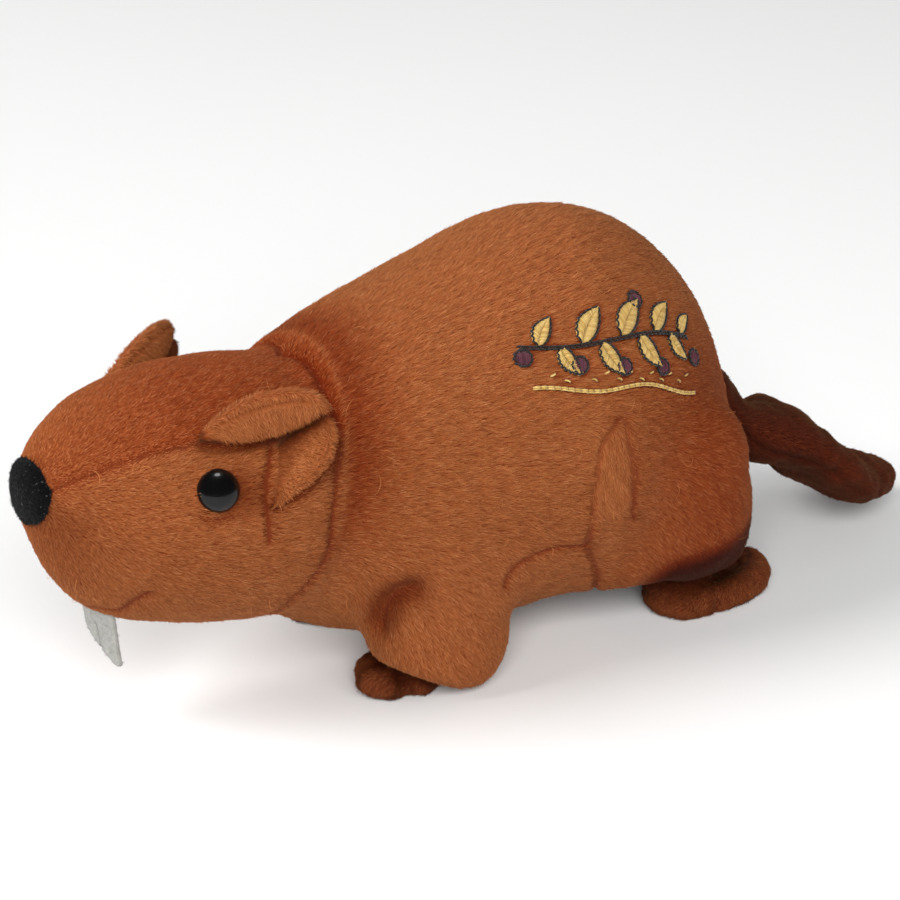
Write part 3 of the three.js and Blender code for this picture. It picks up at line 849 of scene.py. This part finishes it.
def body_skin():
    """The stuffed skin with seams, the bead's dent and slow unevenness sunk into it."""
    points, faces = ROOM.skin(BODY + PILE_DEPTH)
    normals = outward(points, faces)
    left, side = folded(points), np.where(points[:, :1] < 0, -1, 1) * (1, 0, 0) + (0, 1, 1)
    sink, near_seam = np.zeros(len(points)), np.full(len(points), SEAM_REACH)
    shift = np.zeros_like(points)
    for line, (_, width, depth, *_) in zip(LINES, SEAMS):
        far, nearest = near_line(left, line, SEAM_REACH)
        on_it = (far < 0.45 * ROOM.pitch) & (width < 1)
        shift[on_it] = ((nearest - left) * side)[on_it]
        far = np.where(on_it, 0, far)
        sink += depth * np.exp(-((far / width) ** 2)) - 0.07 * depth * np.exp(-(((far - 3) / 1.8) ** 2))
        near_seam = np.minimum(near_seam, far)
    centre, _ = eye_seat(1)
    sink += 0.9 * np.exp(-((np.linalg.norm(left - centre, axis=1) / EYE_DENT) ** 2))
    sink += 0.22 * ripple(points, 26, 5) + 0.1 * ripple(points, 9, 6)
    return points + shift - sink[:, None] * normals, faces, near_seam


def make_body(finish):
    """The one skin of head, trunk, front legs and haunches, and the pile over it."""
    points, faces, near_seam = body_skin()
    marks = body_marks(points)
    behind = neck_side(points[faces].mean(1)) > 0
    bake = np.where(
        np.repeat(behind, 4)[:, None],
        unrolled(points, faces, (0, 0, 45), 1, (0.01, 0.36, 0.99, 0.99)),
        unrolled(points, faces, (0, 0, 48), 1, (0.01, 0.01, 0.99, 0.34)),
    )
    fleshy = ["head", "trunk"] + [f"{limb}_{side}" for limb in ("front_leg", "hind_leg")
                                  for side, _ in BOTH]
    padded("stuffed_body", points, faces, finish, marks, fleshy, bake)
    centre, _ = eye_seat(1)
    from_eye = folded(points) - centre
    keep = ease(3.9, 4.6, np.linalg.norm(from_eye, axis=1))
    nose = np.hypot(points[:, 0] - NOSE["x"], (points[:, 2] - NOSE["z"]) / NOSE["tall"])
    keep *= np.where(points[:, 1] < -80, ease(6.2, 7.0, nose), 1)
    face = ease(-46, -80, points[:, 1])
    low = ease(24, 6, points[:, 2])
    top = marks[:, 0] * (neck_side(points) < 1.5)
    pressed = 1 - 0.6 * np.exp(-((near_seam / 1.2) ** 2))
    keep *= ease(0.1, 0.45, near_seam)
    length = (1.9 - 0.6 * face - 0.4 * low - 0.6 * top) * pressed
    width = 0.27 - 0.03 * face - 0.03 * low - 0.03 * top
    density = 13.7 + 3 * face + 1.5 * low + 3 * top
    rise = 13 + 3 * face + 8 * top
    in_front = np.exp(-(((np.linalg.norm(from_eye, axis=1) - 4.9) / 0.8) ** 2)) * (from_eye[:, 1] < -1)
    rise += 58 * in_front
    length += 1.2 * in_front
    pile = Pile(11, points, faces, nap(points), marks, keep, density, length, width, rise)
    ends_at = pile.points[:, [1, 3]].reshape(-1, 3)
    ridge_marks, tip_marks = np.moveaxis(body_marks(ends_at).reshape(-1, 2, 3), 1, 0)
    pile.marks = np.stack([ridge_marks, ridge_marks, ridge_marks, tip_marks], 1)
    on_head, clear = neck_side(pile.root) < 0, ~under_sprig(pile.root)
    for region, here, cuts in (("head", on_head, [-60]), ("trunk", ~on_head, [-14, 6, 26, 44, 62])):
        band = np.searchsorted(cuts, pile.root[:, 1])
        for k in range(len(cuts) + 1):
            pile.make(
                f"pile_{region}_{k + 1}", (0, 0, 46), 1, finish, here & clear & (band == k)
            )
    return points, faces, keep


# ---- ears, paws, feet and tail ----------------------------------------------------------------
EAR_SLIT = smooth_line([(18.9, -58.6, 67.2), (20.3, -53.5, 66.3), (21.6, -48, 66), (24, -42, 67.2),
                        (27.4, -37.8, 70.2), (29.2, -36, 72)], np.linspace(0, 1, 40))


def leaf(form, long=60, sides=44):
    """A padded ear lobe between its rim and its fold, with a stitched line inside the rim."""
    s = (1 - np.cos(np.linspace(0.05, np.pi - 0.05, long))) / 2
    rim, fold = smooth_line(form["rim"], s), smooth_line(form["fold"], s)
    half, middle = (rim - fold) / 2, (rim + fold) / 2
    across = unit(np.cross(half, np.gradient(middle, axis=0)))
    across *= np.sign((across * body_normal(middle)).sum(1))[:, None]
    full = np.sqrt(1 - (2 * s - 1) ** 2)
    angle = np.linspace(0, 2 * np.pi, sides, endpoint=False)
    reach = np.cos(angle)
    puff = np.sign(np.sin(angle)) * np.abs(np.sin(angle)) ** 0.8
    puff = puff * (1 - 0.4 * np.exp(-(((reach - 0.66) / 0.08) ** 2)))
    lift = full[:, None] * (form["thick"] / 2 * puff - form["cup"] * (1 - reach ** 2))[None]
    rings = middle[:, None] + half[:, None] * reach[:, None] + across[:, None] * lift[..., None]
    points, faces = tube(rings, *smooth_line(form["rim"], (0, 1)))
    flow = np.vstack([half[:1], np.repeat(half, sides, 0), half[-1:]])
    return points, faces, flow, np.concatenate([[0], np.tile(reach, long), [0]])


def make_ears(finish):
    """Each ear from an upper and a lower lobe, with the slit between them drawn in."""
    for name, side in BOTH:
        parts, start = [], 0
        for lobe, seed in ((EAR_UPPER, 41), (EAR_LOWER, 42)):
            points, faces, flow, reach = leaf(lobe)
            points = points + 0.16 * ripple(points, 7, seed)[:, None] * outward(points, faces)
            slit, _ = near_line(points, EAR_SLIT, SEAM_REACH)
            # Painted shade on each lobe's half toward its fold and in the stitched line inside its rim,
            # and a painted shadow in the slit.
            dark = lobe["pressed"] * ease(0.1, -0.8, reach)
            dark = dark + 0.5 * np.exp(-(((reach - 0.66) / 0.07) ** 2))
            if lobe is EAR_UPPER:
                dark = dark + 1.7 * np.exp(-((slit / 0.9) ** 2))
                lift = 0.7 * np.exp(-((slit / 1.8) ** 2))
            else:
                dark = dark + 1.8 * np.exp(-((slit / 1.5) ** 2)) + 0.45 * np.exp(-((slit / 3.4) ** 2))
                lift = -1.3 * np.exp(-((slit / 2.2) ** 2)) - 0.9 * ease(0.2, -1, reach)
            points = points + lift[:, None] * body_normal(points)
            turn, droop = lobe["lie"]
            parts.append((points, faces + start, turn * flow + droop, np.clip(dark, 0, 2)))
            start += len(points)
        points, faces, flow, dark = (np.concatenate(rows) for rows in zip(*parts))
        if side < 0:
            points, faces = mirrored(points, faces)
            points, flow = points + RIGHT_EAR, flow * (-1, 1, 1)
        marks = np.stack([0 * dark, dark, 0 * dark + 0.1], 1)
        middle = points.mean(0)
        bake = unrolled(points, faces, middle, 0, WHOLE_MAP)
        padded(f"ear_{name}_pad", points, faces, finish, marks, [f"ear_{name}"], bake)
        pile = Pile(60 + side, points, faces, flow, marks, 1, 18, 1.5, 0.28, 20)
        pile.make(f"pile_ear_{name}", middle, 0, finish)


def paw_level(p):
    """The front mitt: a crumpled lump with four blunt toes."""
    lean = np.maximum(p[..., 2] - 3, 0)[..., None] * np.array((0, -0.5, 0))
    level = lump_level(PAW)(p + lean) * PAW["size"][2] + 0.6
    for centre, radius in PAW_TOES:
        level = soften(level, np.linalg.norm((p - centre) * (1, 0.9, 1), axis=-1) - radius, 2)
    return trimmed(level, -off_body(p) - TUCKED, 0.8)


def foot_level(p):
    """The hind sole: a flat pad, a padded roll round its outer and rear rim, and a short ankle."""
    sole = lump_level(SOLE)(p) * SOLE["size"][2]
    roll = np.full(p.shape[:-1], np.inf)
    for centre, radius in zip(FOOT_LINE, ROLL_RADII):
        roll = np.minimum(roll, np.linalg.norm(p - centre, axis=-1) - radius)
    notch = np.linalg.norm((p - FOOT_NOTCH) * (0.7, 1, 0.5), axis=-1) - 1.2
    ankle = trimmed(lump_level(ANKLE)(p) * ANKLE["size"][2], -off_body(p) - TUCKED, 0.6)
    return soften(trimmed(soften(sole, roll, 1.2), -notch, 1), ankle, 1.2)


def make_pads(finish):
    """The dark mitts under the front legs and the flat soles under the haunches."""
    kinds = (("front_paw", PAW, paw_level, 3, 0.55), ("hind_foot", HIND_FOOT, foot_level, 4, 0.2))
    for label, form, level, seed, crumpled in kinds:
        wide, long, thick = form["size"]
        room = Room(
            (form["x"] - wide - 5, form["y"] - long - 4, -1),
            (form["x"] + wide + 5, form["y"] + long + 4, form["z"] + thick + 3), 0.6,
        )
        points, faces = room.skin(trimmed(level(room.points), 0.15 - room.points[..., 2], 0.6))
        normals = outward(points, faces)
        bumps = ripple(points, 7, seed) * crumpled
        bumps += 0.18 * ripple(points, 3, seed + 9)
        bumps *= ease(0.2, 1.5, points[:, 2])
        if label == "hind_foot":
            # Painted shade in the trough inside the rolled rim, which the same mask sinks, and where the
            # sole meets the body.
            inner, _ = near_line(points, FOOT_LINE - (4.2, 1, -1.6), SEAM_REACH)
            crease_shade = 1.5 * np.exp(-((inner / 3) ** 2)) * ease(3, 5, points[:, 2])
            bumps -= 1.0 * crease_shade
            crease_shade += 1.1 * np.exp(-((np.maximum(off_body(points), 0) / 3.2) ** 2))
        else:
            # Painted shade under the leg's hem, which the same mask sinks, and in the mitt's hollows.
            under_hem = np.exp(-((off_body(points) / 2.4) ** 2))
            crease_shade = 1.0 * under_hem + 0.6 * ease(0.2, -0.8, ripple(points, 7, seed))
            bumps -= 0.8 * under_hem
        points = points + bumps[:, None] * normals
        points[:, 2] = np.maximum(points[:, 2], 0.06)
        flow = np.tile((0.0, -0.5, -0.6), (len(points), 1))
        flow += unit(points - (form["x"], form["y"], form["z"])) * (0.8, 0.8, 0)
        marks = np.stack([0 * crease_shade, np.clip(crease_shade, 0, 2), 0 * crease_shade], 1)
        keep = ease(0.25, 0.9, points[:, 2])
        for name, side in BOTH:
            p, f = (points, faces) if side > 0 else mirrored(points, faces)
            back = RIGHT_LEG_BACK if side < 0 and label == "front_paw" else 0
            p = p + (0, back, 0)
            centre = (form["x"] * side, form["y"] + back, form["z"])
            bake = unrolled(p, f, centre, 1, WHOLE_MAP)
            node = f"{label}_{name}"
            padded(f"{node}_pad", p, f, finish, marks, [node], bake)
            lay = flow * (side, 1, 1)
            pile = Pile(70 + seed + side, p, f, lay, marks, keep, 17, 1.3, 0.3, 20, stray=0.3)
            pile.make(f"pile_{label}_{name}", centre, 1, finish)


def make_tail(finish):
    """The flat paddle: two panels sewn round the rim, bent down from the rump and out."""
    height, wide, thick = (knots(TAIL[k]) for k in ("height", "wide", "thick"))
    length = TAIL["end"] - TAIL["start"]
    long, sides = 130, 96
    s = (1 - np.cos(np.linspace(0.03, np.pi - 0.03, long))) / 2
    power = np.where(s < 0.5, TAIL["root"], TAIL["tip"])
    full = (1 - np.abs(2 * s - 1) ** power) ** (1 / power)
    slope = (height(s + 0.01) - height(s - 0.01)) / (0.02 * length)
    up = unit(np.stack([0 * s, -slope, 0 * s + 1], -1))
    centre = np.stack([0 * s, TAIL["start"] + length * s, height(s)], -1)
    angle = np.linspace(0, 2 * np.pi, sides, endpoint=False)
    c, a = np.cos(angle), np.sin(angle)
    across, lift = (np.sign(v) * np.abs(v) ** (2 / TAIL["square"]) for v in (c, a))
    turn_down = np.degrees(np.arctan2(a, np.abs(c))) + 16     # the rim seam sits below the middle
    groove = np.exp(-((turn_down / 7) ** 2))[None] * ease(0.78, 0.55, s)[:, None]
    half_thick, half_wide = ((reach(s) - PILE_DEPTH) * full for reach in (thick, wide))
    rings = centre[:, None] + up[:, None] * (half_thick[:, None] * lift)[..., None]
    rings[..., 0] += half_wide[:, None] * across * (1 - 0.055 * groove)
    points, faces = tube(rings, centre[0] - (0, 0.2, 0), centre[-1] + (0, 0.2, 0))
    bumps = 0.6 * ripple(points, 15, 8) + 0.3 * ripple(points, 6, 9)
    pinch = 0.82 * (points[:, 1] - 98.5 + 0.69 * points[:, 0])
    above = points[:, 2] - height((points[:, 1] - TAIL["start"]) / length)
    far_side = 0.5 + 0.5 * ease(8, -4, points[:, 0])
    bumps -= 2.6 * np.exp(-((pinch / 3) ** 2)) * ease(0, 5, above) * far_side
    fold = np.linalg.norm((folded(points) - (19, 113, 19)) * (0.6, 0.5, 1), axis=1)
    bumps += 0.7 * np.exp(-((fold / 2.6) ** 2))
    points = points + bumps[:, None] * outward(points, faces)
    points[:, 2] = np.maximum(points[:, 2], 0.3)
    # Painted shade in the rim seam's groove and in the hollows, and a painted highlight on the fold.
    crease_shade = np.concatenate([[0], (0.8 * groove).ravel(), [0]])
    crease_shade += 0.35 * ease(0.1, -0.7, ripple(points, 15, 8))
    pale_and_painted_highlight = 0.45 * np.exp(-((fold / 2.4) ** 2))
    marks = np.stack([0 * crease_shade, np.clip(crease_shade, 0, 1), pale_and_painted_highlight], 1)
    middle = (0, 110, 20)
    bake = unrolled(points, faces, middle, 1, WHOLE_MAP)
    padded("tail_pad", points, faces, finish, marks, ["tail"], bake)
    flow = np.tile((0.0, 1.0, -0.4), (len(points), 1))
    shown = off_body(points) > -2.5
    pile = Pile(90, points, faces, flow, marks, shown, 14, 1.4, 0.32, 18)
    pile.make("pile_tail", middle, 1, finish)


# ---- eyes, nose and teeth ---------------------------------------------------------------------
def turned_to(out):
    """Two directions square to out and to each other."""
    across = unit(np.cross((0, 0, 1), out))
    return across, np.cross(out, across)


def make_eyes(finish):
    """Polished beads: a full dome, a tight shoulder and a short wall down into the pile."""
    turns = np.linspace(0, 2 * np.pi, 64, endpoint=False)
    profile = [(math.sin(a), math.cos(a)) for a in np.linspace(0.06, 1.75, 30)] + [(0.4, -0.5)]
    for name, side in BOTH:
        centre, out = eye_seat(side)
        across, up = turned_to(out)
        rings = np.stack([
            centre + EYE["depth"] * h * out
            + EYE["radius"] * r * (np.cos(turns)[:, None] * across + np.sin(turns)[:, None] * up)
            for r, h in profile
        ])
        points, faces = tube(rings, centre + EYE["depth"] * out, centre - 0.5 * EYE["depth"] * out)
        piece(f"eye_{name}_bead", points, faces, finish, nodes=[f"eye_{name}"])


def fuzz(name, seed, points, faces, density, length, width, finish):
    """Loose fibres standing a little off a piece of felt, each its own way."""
    lay = np.random.default_rng(seed + 1).normal(size=points.shape)
    no_marks = np.zeros(points.shape)
    pile = Pile(seed, points, faces, lay, no_marks, 1, density, length, width, 10, stray=2.5)
    pile.make(name, points.mean(0), 1, finish)


def make_nose(finish):
    """A round felt patch that follows the end of the snout, its edge pressed into the pile."""
    turns = np.linspace(0, 2 * np.pi, 96, endpoint=False)
    wave = 1 + 0.014 * np.sin(3 * turns + 1) + 0.012 * np.sin(7 * turns) + 0.01 * np.sin(17 * turns + 2)
    profile = [(r, 0.75) for r in np.linspace(0.05, 0.86, 14)]
    profile += [(0.93, 0.7), (0.975, 0.5), (1.0, 0.15), (0.995, -0.3), (0.97, -0.75)]
    profile += [(0.7, -0.8), (0.3, -0.8)]
    rings = []
    for r, high in profile:
        x = NOSE["x"] + NOSE["radius"] * r * wave * np.cos(turns)
        z = NOSE["z"] + NOSE["radius"] * NOSE["tall"] * r * wave * np.sin(turns)
        near = np.stack([x, np.full(len(turns), -97.0), z], -1)
        for _ in range(14):
            near[:, 1] += (off_body(near) - high) * 0.8
        rings.append(near)
    points, faces = tube(np.stack(rings), rings[0].mean(0), rings[-1].mean(0))
    patch = piece("nose_felt", points, faces, finish, nodes=["nose"])
    fuzz("nose_fuzz", 120, points, faces, 12, 1.1, 0.12, finish)


def make_teeth(finish):
    """Two felt incisors cut from one sheet, with a slit between them."""
    half, long = TEETH["wide"] / 2, TEETH["long"] + TEETH["extra"]
    thick, corner = TEETH["felt"] / 2, TEETH["round"]
    room = Room((-half - 1, -thick - 0.8, -long - 1), (half + 1, thick + 0.8, 1.5), 0.26)
    x, y, z = np.moveaxis(room.points, -1, 0)
    foot = np.where(x > 0, -long + 0.36 * (half - x), -TEETH["long"] - 0.32 * x)
    wall = np.maximum(np.abs(x) - half, np.maximum(foot - z, z - 0.6))
    round_off = np.hypot(np.maximum(np.abs(x) - half + corner, 0), np.maximum(foot + corner - z, 0))
    wall = np.maximum(wall, round_off - corner)
    slit = np.maximum(np.abs(x) - TEETH["slit"] / 2, z + TEETH["long"] - TEETH["slit_long"])
    wall = np.maximum(wall, -slit)
    points, faces = room.skin(trimmed(wall, np.abs(y) - thick, 0.5))
    points[:, 1] += 0.012 * points[:, 0] ** 2
    points[:, 1] -= 0.3 * ease(0, 3, points[:, 0]) * ease(-4, -12, points[:, 2])
    tilt = math.radians(TEETH["tilt"])
    c, s = math.cos(tilt), math.sin(tilt)
    y, z = points[:, 1] * c - points[:, 2] * s, points[:, 1] * s + points[:, 2] * c
    points = np.stack([points[:, 0], y + TEETH["y"], z + TEETH["top"]], 1)
    sheet = piece("teeth_felt", points, faces, finish, nodes=["teeth"])
    fuzz("teeth_fuzz", 130, points, faces, 6, 0.7, 0.08, finish)


# ---- the stitched sprig and the loose hairs ---------------------------------------------------
# The pattern is drawn flat, a along the flank and b up it, and pressed on from the side.
SPRIG_MIDDLE, SPRIG_ALONG = np.array((31, 36, 73.5)), unit(np.array((0, 0.98, -0.2)))
SPRIG_UP = np.array((-0.45, 0.1, 0.85))
SPRIG_UP = unit(SPRIG_UP - (SPRIG_UP @ SPRIG_ALONG) * SPRIG_ALONG)
SPRIG_OUT = np.cross(SPRIG_ALONG, SPRIG_UP)
SPRIG_LEAVES = [(-19, 1, 7.5), (-14.5, -1, 7.5), (-9.5, 1, 10), (-5, -1, 9), (0.5, 1, 11),
                (5.5, -1, 9.5), (10.5, 1, 9.5), (15.5, -1, 8), (19.5, 1, 7)]
SPRIG_BERRIES = [(-22.5, -3.6), (-10.5, -5.8), (0.4, -6.4), (6.6, 8.6), (12, -6.2), (24.5, -3.4)]
THREAD = 0.22             # half a thread's thickness


def on_flank(flat, height):
    """Places of the flat pattern, pressed onto the left flank."""
    p = SPRIG_MIDDLE + flat[..., :1] * SPRIG_ALONG + flat[..., 1:] * SPRIG_UP
    for _ in range(12):
        p = p - (off_body(p) - height)[..., None] * SPRIG_OUT
    return p


def stem(a):
    """The sprig's stem, as places of the flat pattern."""
    return np.stack([a, 1.3 * np.sin(a / 8.5) + 0.02 * a], -1)


def sprig_stitches():
    """Every stitch of the sprig as (start, end), by its colour."""
    gold, maroon, dark = [], [], []

    def back_stitch(colour, line):
        colour += list(zip(line[:-1], line[1:]))

    back_stitch(dark, stem(np.arange(-23, 23.5, 1.3)))
    back_stitch(dark, stem(np.arange(-23, 23.5, 1.3)) + (0.35, -0.5))
    for a, side, long in SPRIG_LEAVES:
        base = stem(np.array(a, float))
        aim = math.radians(side * (52 - 0.4 * a))
        ahead = np.array((math.cos(aim), math.sin(aim)))
        beside = np.array((-ahead[1], ahead[0]))

        def edge(t, edge_side):
            t = np.clip(t, 0, 1)[..., None]
            bulge = 0.24 * long * np.sin(np.pi * t ** 0.85) ** 0.9
            return base + long * t * ahead + (0.5 * side * np.sin(np.pi * t) + edge_side * bulge) * beside

        for edge_side in (-1, 1):
            t = np.arange(0.05, 0.93, 0.38 / long)
            gold += list(zip(edge(t, 0), edge(t + 0.11, edge_side * 0.92)))
            back_stitch(dark, edge(np.linspace(0, 1, 9), edge_side))
    for berry in SPRIG_BERRIES:
        for across in np.arange(-1.5, 1.51, 0.36):
            reach = math.sqrt(1.75 ** 2 - across ** 2)
            maroon.append((np.array(berry) + (across, -reach), np.array(berry) + (across, reach)))
        turn = np.linspace(0, 2 * np.pi, 11)
        back_stitch(dark, np.array(berry) + 1.9 * np.stack([np.cos(turn), np.sin(turn)], -1))
    a = np.arange(-21, 25, 1.5)
    for drop in (0, 0.42):
        back_stitch(gold, np.stack([a, -10.6 + 0.7 * np.sin(a / 4.2) - drop], -1))
    for k, a in enumerate(np.arange(-17, 22, 3.1)):
        seed = np.array((a, -8.3 + 0.5 * (-1) ** k))
        gold.append((seed, seed + (1.0, 0.5 * (-1) ** k)))
    return {"gold": gold, "maroon": maroon, "dark": dark}


STITCHES = sprig_stitches()


def sprig_cells(flat):
    """The small square of the flat pattern that each place lies in."""
    cell = np.floor((flat + 100) / 0.3).astype(int)
    return cell[..., 0] * 10000 + cell[..., 1]


def under_sprig(p):
    """Whether a place on the left flank is covered by the sprig's stitches."""
    ends_at = np.array([stitch for colour in STITCHES.values() for stitch in colour])
    share = np.linspace(0, 1, 25)[:, None, None]
    spots = (ends_at[:, 0] * (1 - share) + ends_at[:, 1] * share).reshape(-1, 2)
    around_it = [sprig_cells(spots + (0.3 * i, 0.3 * j)) for i in (-1, 0, 1) for j in (-1, 0, 1)]
    flat = np.stack([(p - SPRIG_MIDDLE) @ SPRIG_ALONG, (p - SPRIG_MIDDLE) @ SPRIG_UP], -1)
    facing = ((p - SPRIG_MIDDLE) @ SPRIG_OUT > -30) & (p[:, 0] > 0)
    return facing & np.isin(sprig_cells(flat), np.unique(np.concatenate(around_it)))


def make_sprig():
    """A sprig of leaves and berries in satin and back stitch on the left flank."""
    paints = {
        "gold": (shade("#a0762f"), shade("#d6ba74")), "maroon": (shade("#3a1a22"), shade("#633440")),
        "dark": (shade("#120f0e"), shade("#2e2823")),
    }
    rng = np.random.default_rng(31)
    for colour, (deep, pale) in paints.items():
        stitches = np.array(STITCHES[colour])
        t = np.linspace(0, 1, 6)[None, :, None]
        flat = stitches[:, :1] * (1 - t) + stitches[:, 1:] * t
        rise = 0.3 + 0.1 * rng.random((len(stitches), 1)) + (0.15 if colour == "dark" else 0)
        height = -0.5 + (rise + 0.5) * np.sin(np.pi * np.linspace(0.02, 0.98, 6)) ** 0.35
        path = on_flank(flat, height)
        ahead = unit(np.gradient(path, axis=1))
        n = body_normal(path)
        n = unit(n - (n * ahead).sum(-1, keepdims=True) * ahead)
        s = np.cross(n, ahead)
        turn = np.linspace(0, 2 * np.pi, 5, endpoint=False)[:, None]
        rings = path[:, :, None] + THREAD * (np.cos(turn) * n[:, :, None] + np.sin(turn) * s[:, :, None])
        grid = np.arange(rings[..., 0].size).reshape(rings.shape[:3])
        turned = np.roll(grid, -1, 2)
        a, b, c, d = (v.ravel() for v in (grid[:, :-1], grid[:, 1:], turned[:, 1:], turned[:, :-1]))
        first, last = grid[:, 0], grid[:, -1]
        caps = [cap[:, pick] for pick in ((0, 1, 2), (0, 2, 3), (0, 3, 4))
                for cap in (first, last[:, [0, 4, 3, 2, 1]])]
        faces = np.concatenate([np.stack([a, b, c], 1), np.stack([a, c, d], 1), *caps])
        luck = rng.random(len(stitches))
        strand = np.stack(np.broadcast_arrays(t[:, :, :1], luck[:, None, None], 0.5), -1)
        strand = np.broadcast_to(strand, (*rings.shape[:3], 3)).reshape(-1, 3)
        piece(
            f"sprig_{colour}", rings.reshape(-1, 3), faces, thread(f"{colour} thread", deep, pale),
            {"strand": strand},
        )


LOOSE_HAIRS = 170


def make_hairs(finish, points, faces, keep):
    """Pale loose hairs, curled over the pile they have worked out of."""
    rng = np.random.default_rng(77)
    ids, share = sown(rng, points, faces, keep * 0.02)
    picked = rng.permutation(len(ids))[:LOOSE_HAIRS]
    ids, share = ids[picked], share[picked]
    place = np.einsum("ij,ijk->ik", share, points[ids])
    n = body_normal(place)
    lay = unit(nap(place))
    lay = unit(lay - (lay * n).sum(1, keepdims=True) * n)
    heading = rng.normal(0, 0.9, len(place))
    curl, curl_change = rng.normal(0, 0.22, (2, len(place)))
    step = rng.uniform(0.35, 0.75, len(place))
    width = rng.uniform(0.03, 0.05, len(place))
    left, right = [], []
    spot = place
    for k in range(8):
        n = body_normal(spot)
        aim = unit(lay * np.cos(heading)[:, None] + np.cross(n, lay) * np.sin(heading)[:, None])
        side = np.cross(n, aim) * (width * (1 - abs(k - 3.2) / 6))[:, None]
        left.append(spot - side)
        right.append(spot + side)
        heading = heading + curl + 0.2 * k * curl_change
        spot = onto_body(spot + aim * step[:, None], 0.15 + 0.5 * math.sin(0.4 * k + 0.3))
    edges = np.stack([np.stack(left, 1), np.stack(right, 1)], 2)
    grid = np.arange(edges[..., 0].size).reshape(edges.shape[:3])
    quads = np.stack([grid[:, :-1, 0], grid[:, :-1, 1], grid[:, 1:, 1], grid[:, 1:, 0]], -1)
    flat = edges.reshape(-1, 3)
    turn, along = around(place, (0, 0, 46), 1)
    along = (along - along.min()) / np.ptp(along)
    spot = np.stack([0.01 + 0.975 * turn, 0.01 + 0.975 * along], -1)
    corner = PATCH * np.array([(0, 0), (1, 0), (1, 1), (0, 1)])
    bake = np.repeat(spot, quads.shape[1], 0)[:, None] + corner[None]
    strand = np.tile((1.0, 0.9, 1.0), (len(flat), 1))
    marks = np.tile((0.0, 0.0, 0.6), (len(flat), 1))
    piece(
        "loose_hairs", flat, quads.reshape(-1, 4), finish,
        {"strand": strand, "marks": marks}, bake=bake.reshape(-1, 2),
    )


# ---- the floor, the light and the camera ------------------------------------------------------
VIEW = dict(azimuth=56.5, elevation=22.5, distance=625, target=(0, 14, 42), lens=112.8)


def make_camera():
    az, el = math.radians(VIEW["azimuth"]), math.radians(VIEW["elevation"])
    away = Vector((math.sin(az) * math.cos(el), -math.cos(az) * math.cos(el), math.sin(el)))
    target = Vector(metres(VIEW["target"]))
    camera = bpy.data.cameras.new("camera")
    camera.lens, camera.sensor_width = VIEW["lens"], 36
    camera.clip_start, camera.clip_end = 0.01, 50
    made = bpy.data.objects.new("camera", camera)
    made.location = target + away * VIEW["distance"] * MM
    made.rotation_euler = away.to_track_quat("Z", "Y").to_euler()
    bpy.context.scene.collection.objects.link(made)
    bpy.context.scene.camera = made


def make_light(name, azimuth, elevation, far, size, power, glint=False):
    """A round soft box aimed at the toy; the glint is only there for what polished things mirror."""
    az, el = math.radians(azimuth), math.radians(elevation)
    away = Vector((math.sin(az) * math.cos(el), -math.cos(az) * math.cos(el), math.sin(el)))
    light = bpy.data.lights.new(name, "AREA")
    light.shape, light.size, light.energy = "DISK", size, power
    made = bpy.data.objects.new(name, light)
    made.location = Vector((0, 0, 0.04)) + away * far
    made.rotation_euler = away.to_track_quat("Z", "Y").to_euler()
    made.visible_glossy, made.visible_diffuse = glint, not glint
    bpy.context.scene.collection.objects.link(made)


# Name, azimuth and elevation in degrees, distance and width in metres, and power in watts.
LIGHTS = [("key", -20, 35, 3, 1.8, 85), ("fill", 57, 30, 3, 1.8, 80), ("side", 90, 33, 3, 1.8, 21),
          ("overhead", 200, 82, 1.2, 0.42, 5, True)]
WORLD = (0.16, 0.03)      # the white room's light on matt things, and what polished ones mirror
FLOOR_REACH = 1.6         # how far the lit floor goes each way, in metres


def make_studio():
    f = Finish("studio floor")
    paint = f.blend(f.noise(400, 2), shade("#f8f8f7"), shade("#fbfbfa"))
    floor_finish = f.finish(Base_Color=paint, Roughness=0.8)
    mesh = bpy.data.meshes.new("floor")
    corners = [(x * FLOOR_REACH, y * FLOOR_REACH, 0) for x, y in ((-1, -1), (1, -1), (1, 1), (-1, 1))]
    mesh.from_pydata(corners, [], [(0, 1, 2, 3)])
    mesh.materials.append(floor_finish)
    floor = bpy.data.objects.new("floor", mesh)
    bpy.context.scene.collection.objects.link(floor)
    world = bpy.data.worlds.new("studio")
    world.use_nodes = True
    nodes, links = world.node_tree.nodes, world.node_tree.links
    plain, mirrored_room = nodes["Background"], nodes.new("ShaderNodeBackground")
    for background, strength in zip((plain, mirrored_room), WORLD):
        background.inputs["Color"].default_value = shade("#f2f3f5")
        background.inputs["Strength"].default_value = strength
    backdrop = nodes.new("ShaderNodeBackground")
    backdrop.inputs["Color"].default_value = shade("#fbfbfa")
    seen = nodes.new("ShaderNodeMixShader")
    mix, ray = nodes.new("ShaderNodeMixShader"), nodes.new("ShaderNodeLightPath")
    links.new(ray.outputs["Is Glossy Ray"], mix.inputs[0])
    links.new(plain.outputs[0], mix.inputs[1])
    links.new(mirrored_room.outputs[0], mix.inputs[2])
    links.new(ray.outputs["Is Camera Ray"], seen.inputs[0])
    links.new(mix.outputs[0], seen.inputs[1])
    links.new(backdrop.outputs[0], seen.inputs[2])
    links.new(seen.outputs[0], nodes["World Output"].inputs[0])
    bpy.context.scene.world = world
    for light in LIGHTS:
        make_light(*light)
    bpy.context.scene.view_settings.view_transform = "Standard"


tan = tan_plush()
make_camera()
make_studio()
skin = make_body(tan)
make_ears(tan)
make_pads(paw_plush())
make_tail(tail_plush())
make_eyes(black_bead())
make_nose(felt("black felt", shade("#040405"), shade("#101112"), shade("#77787a"), 0.6, 0.05))
make_teeth(felt("white felt", shade("#86857f"), shade("#a09f9a"), shade("#b8b7b2"), 0.3, 0.15))
make_sprig()
make_hairs(tan, *skin)
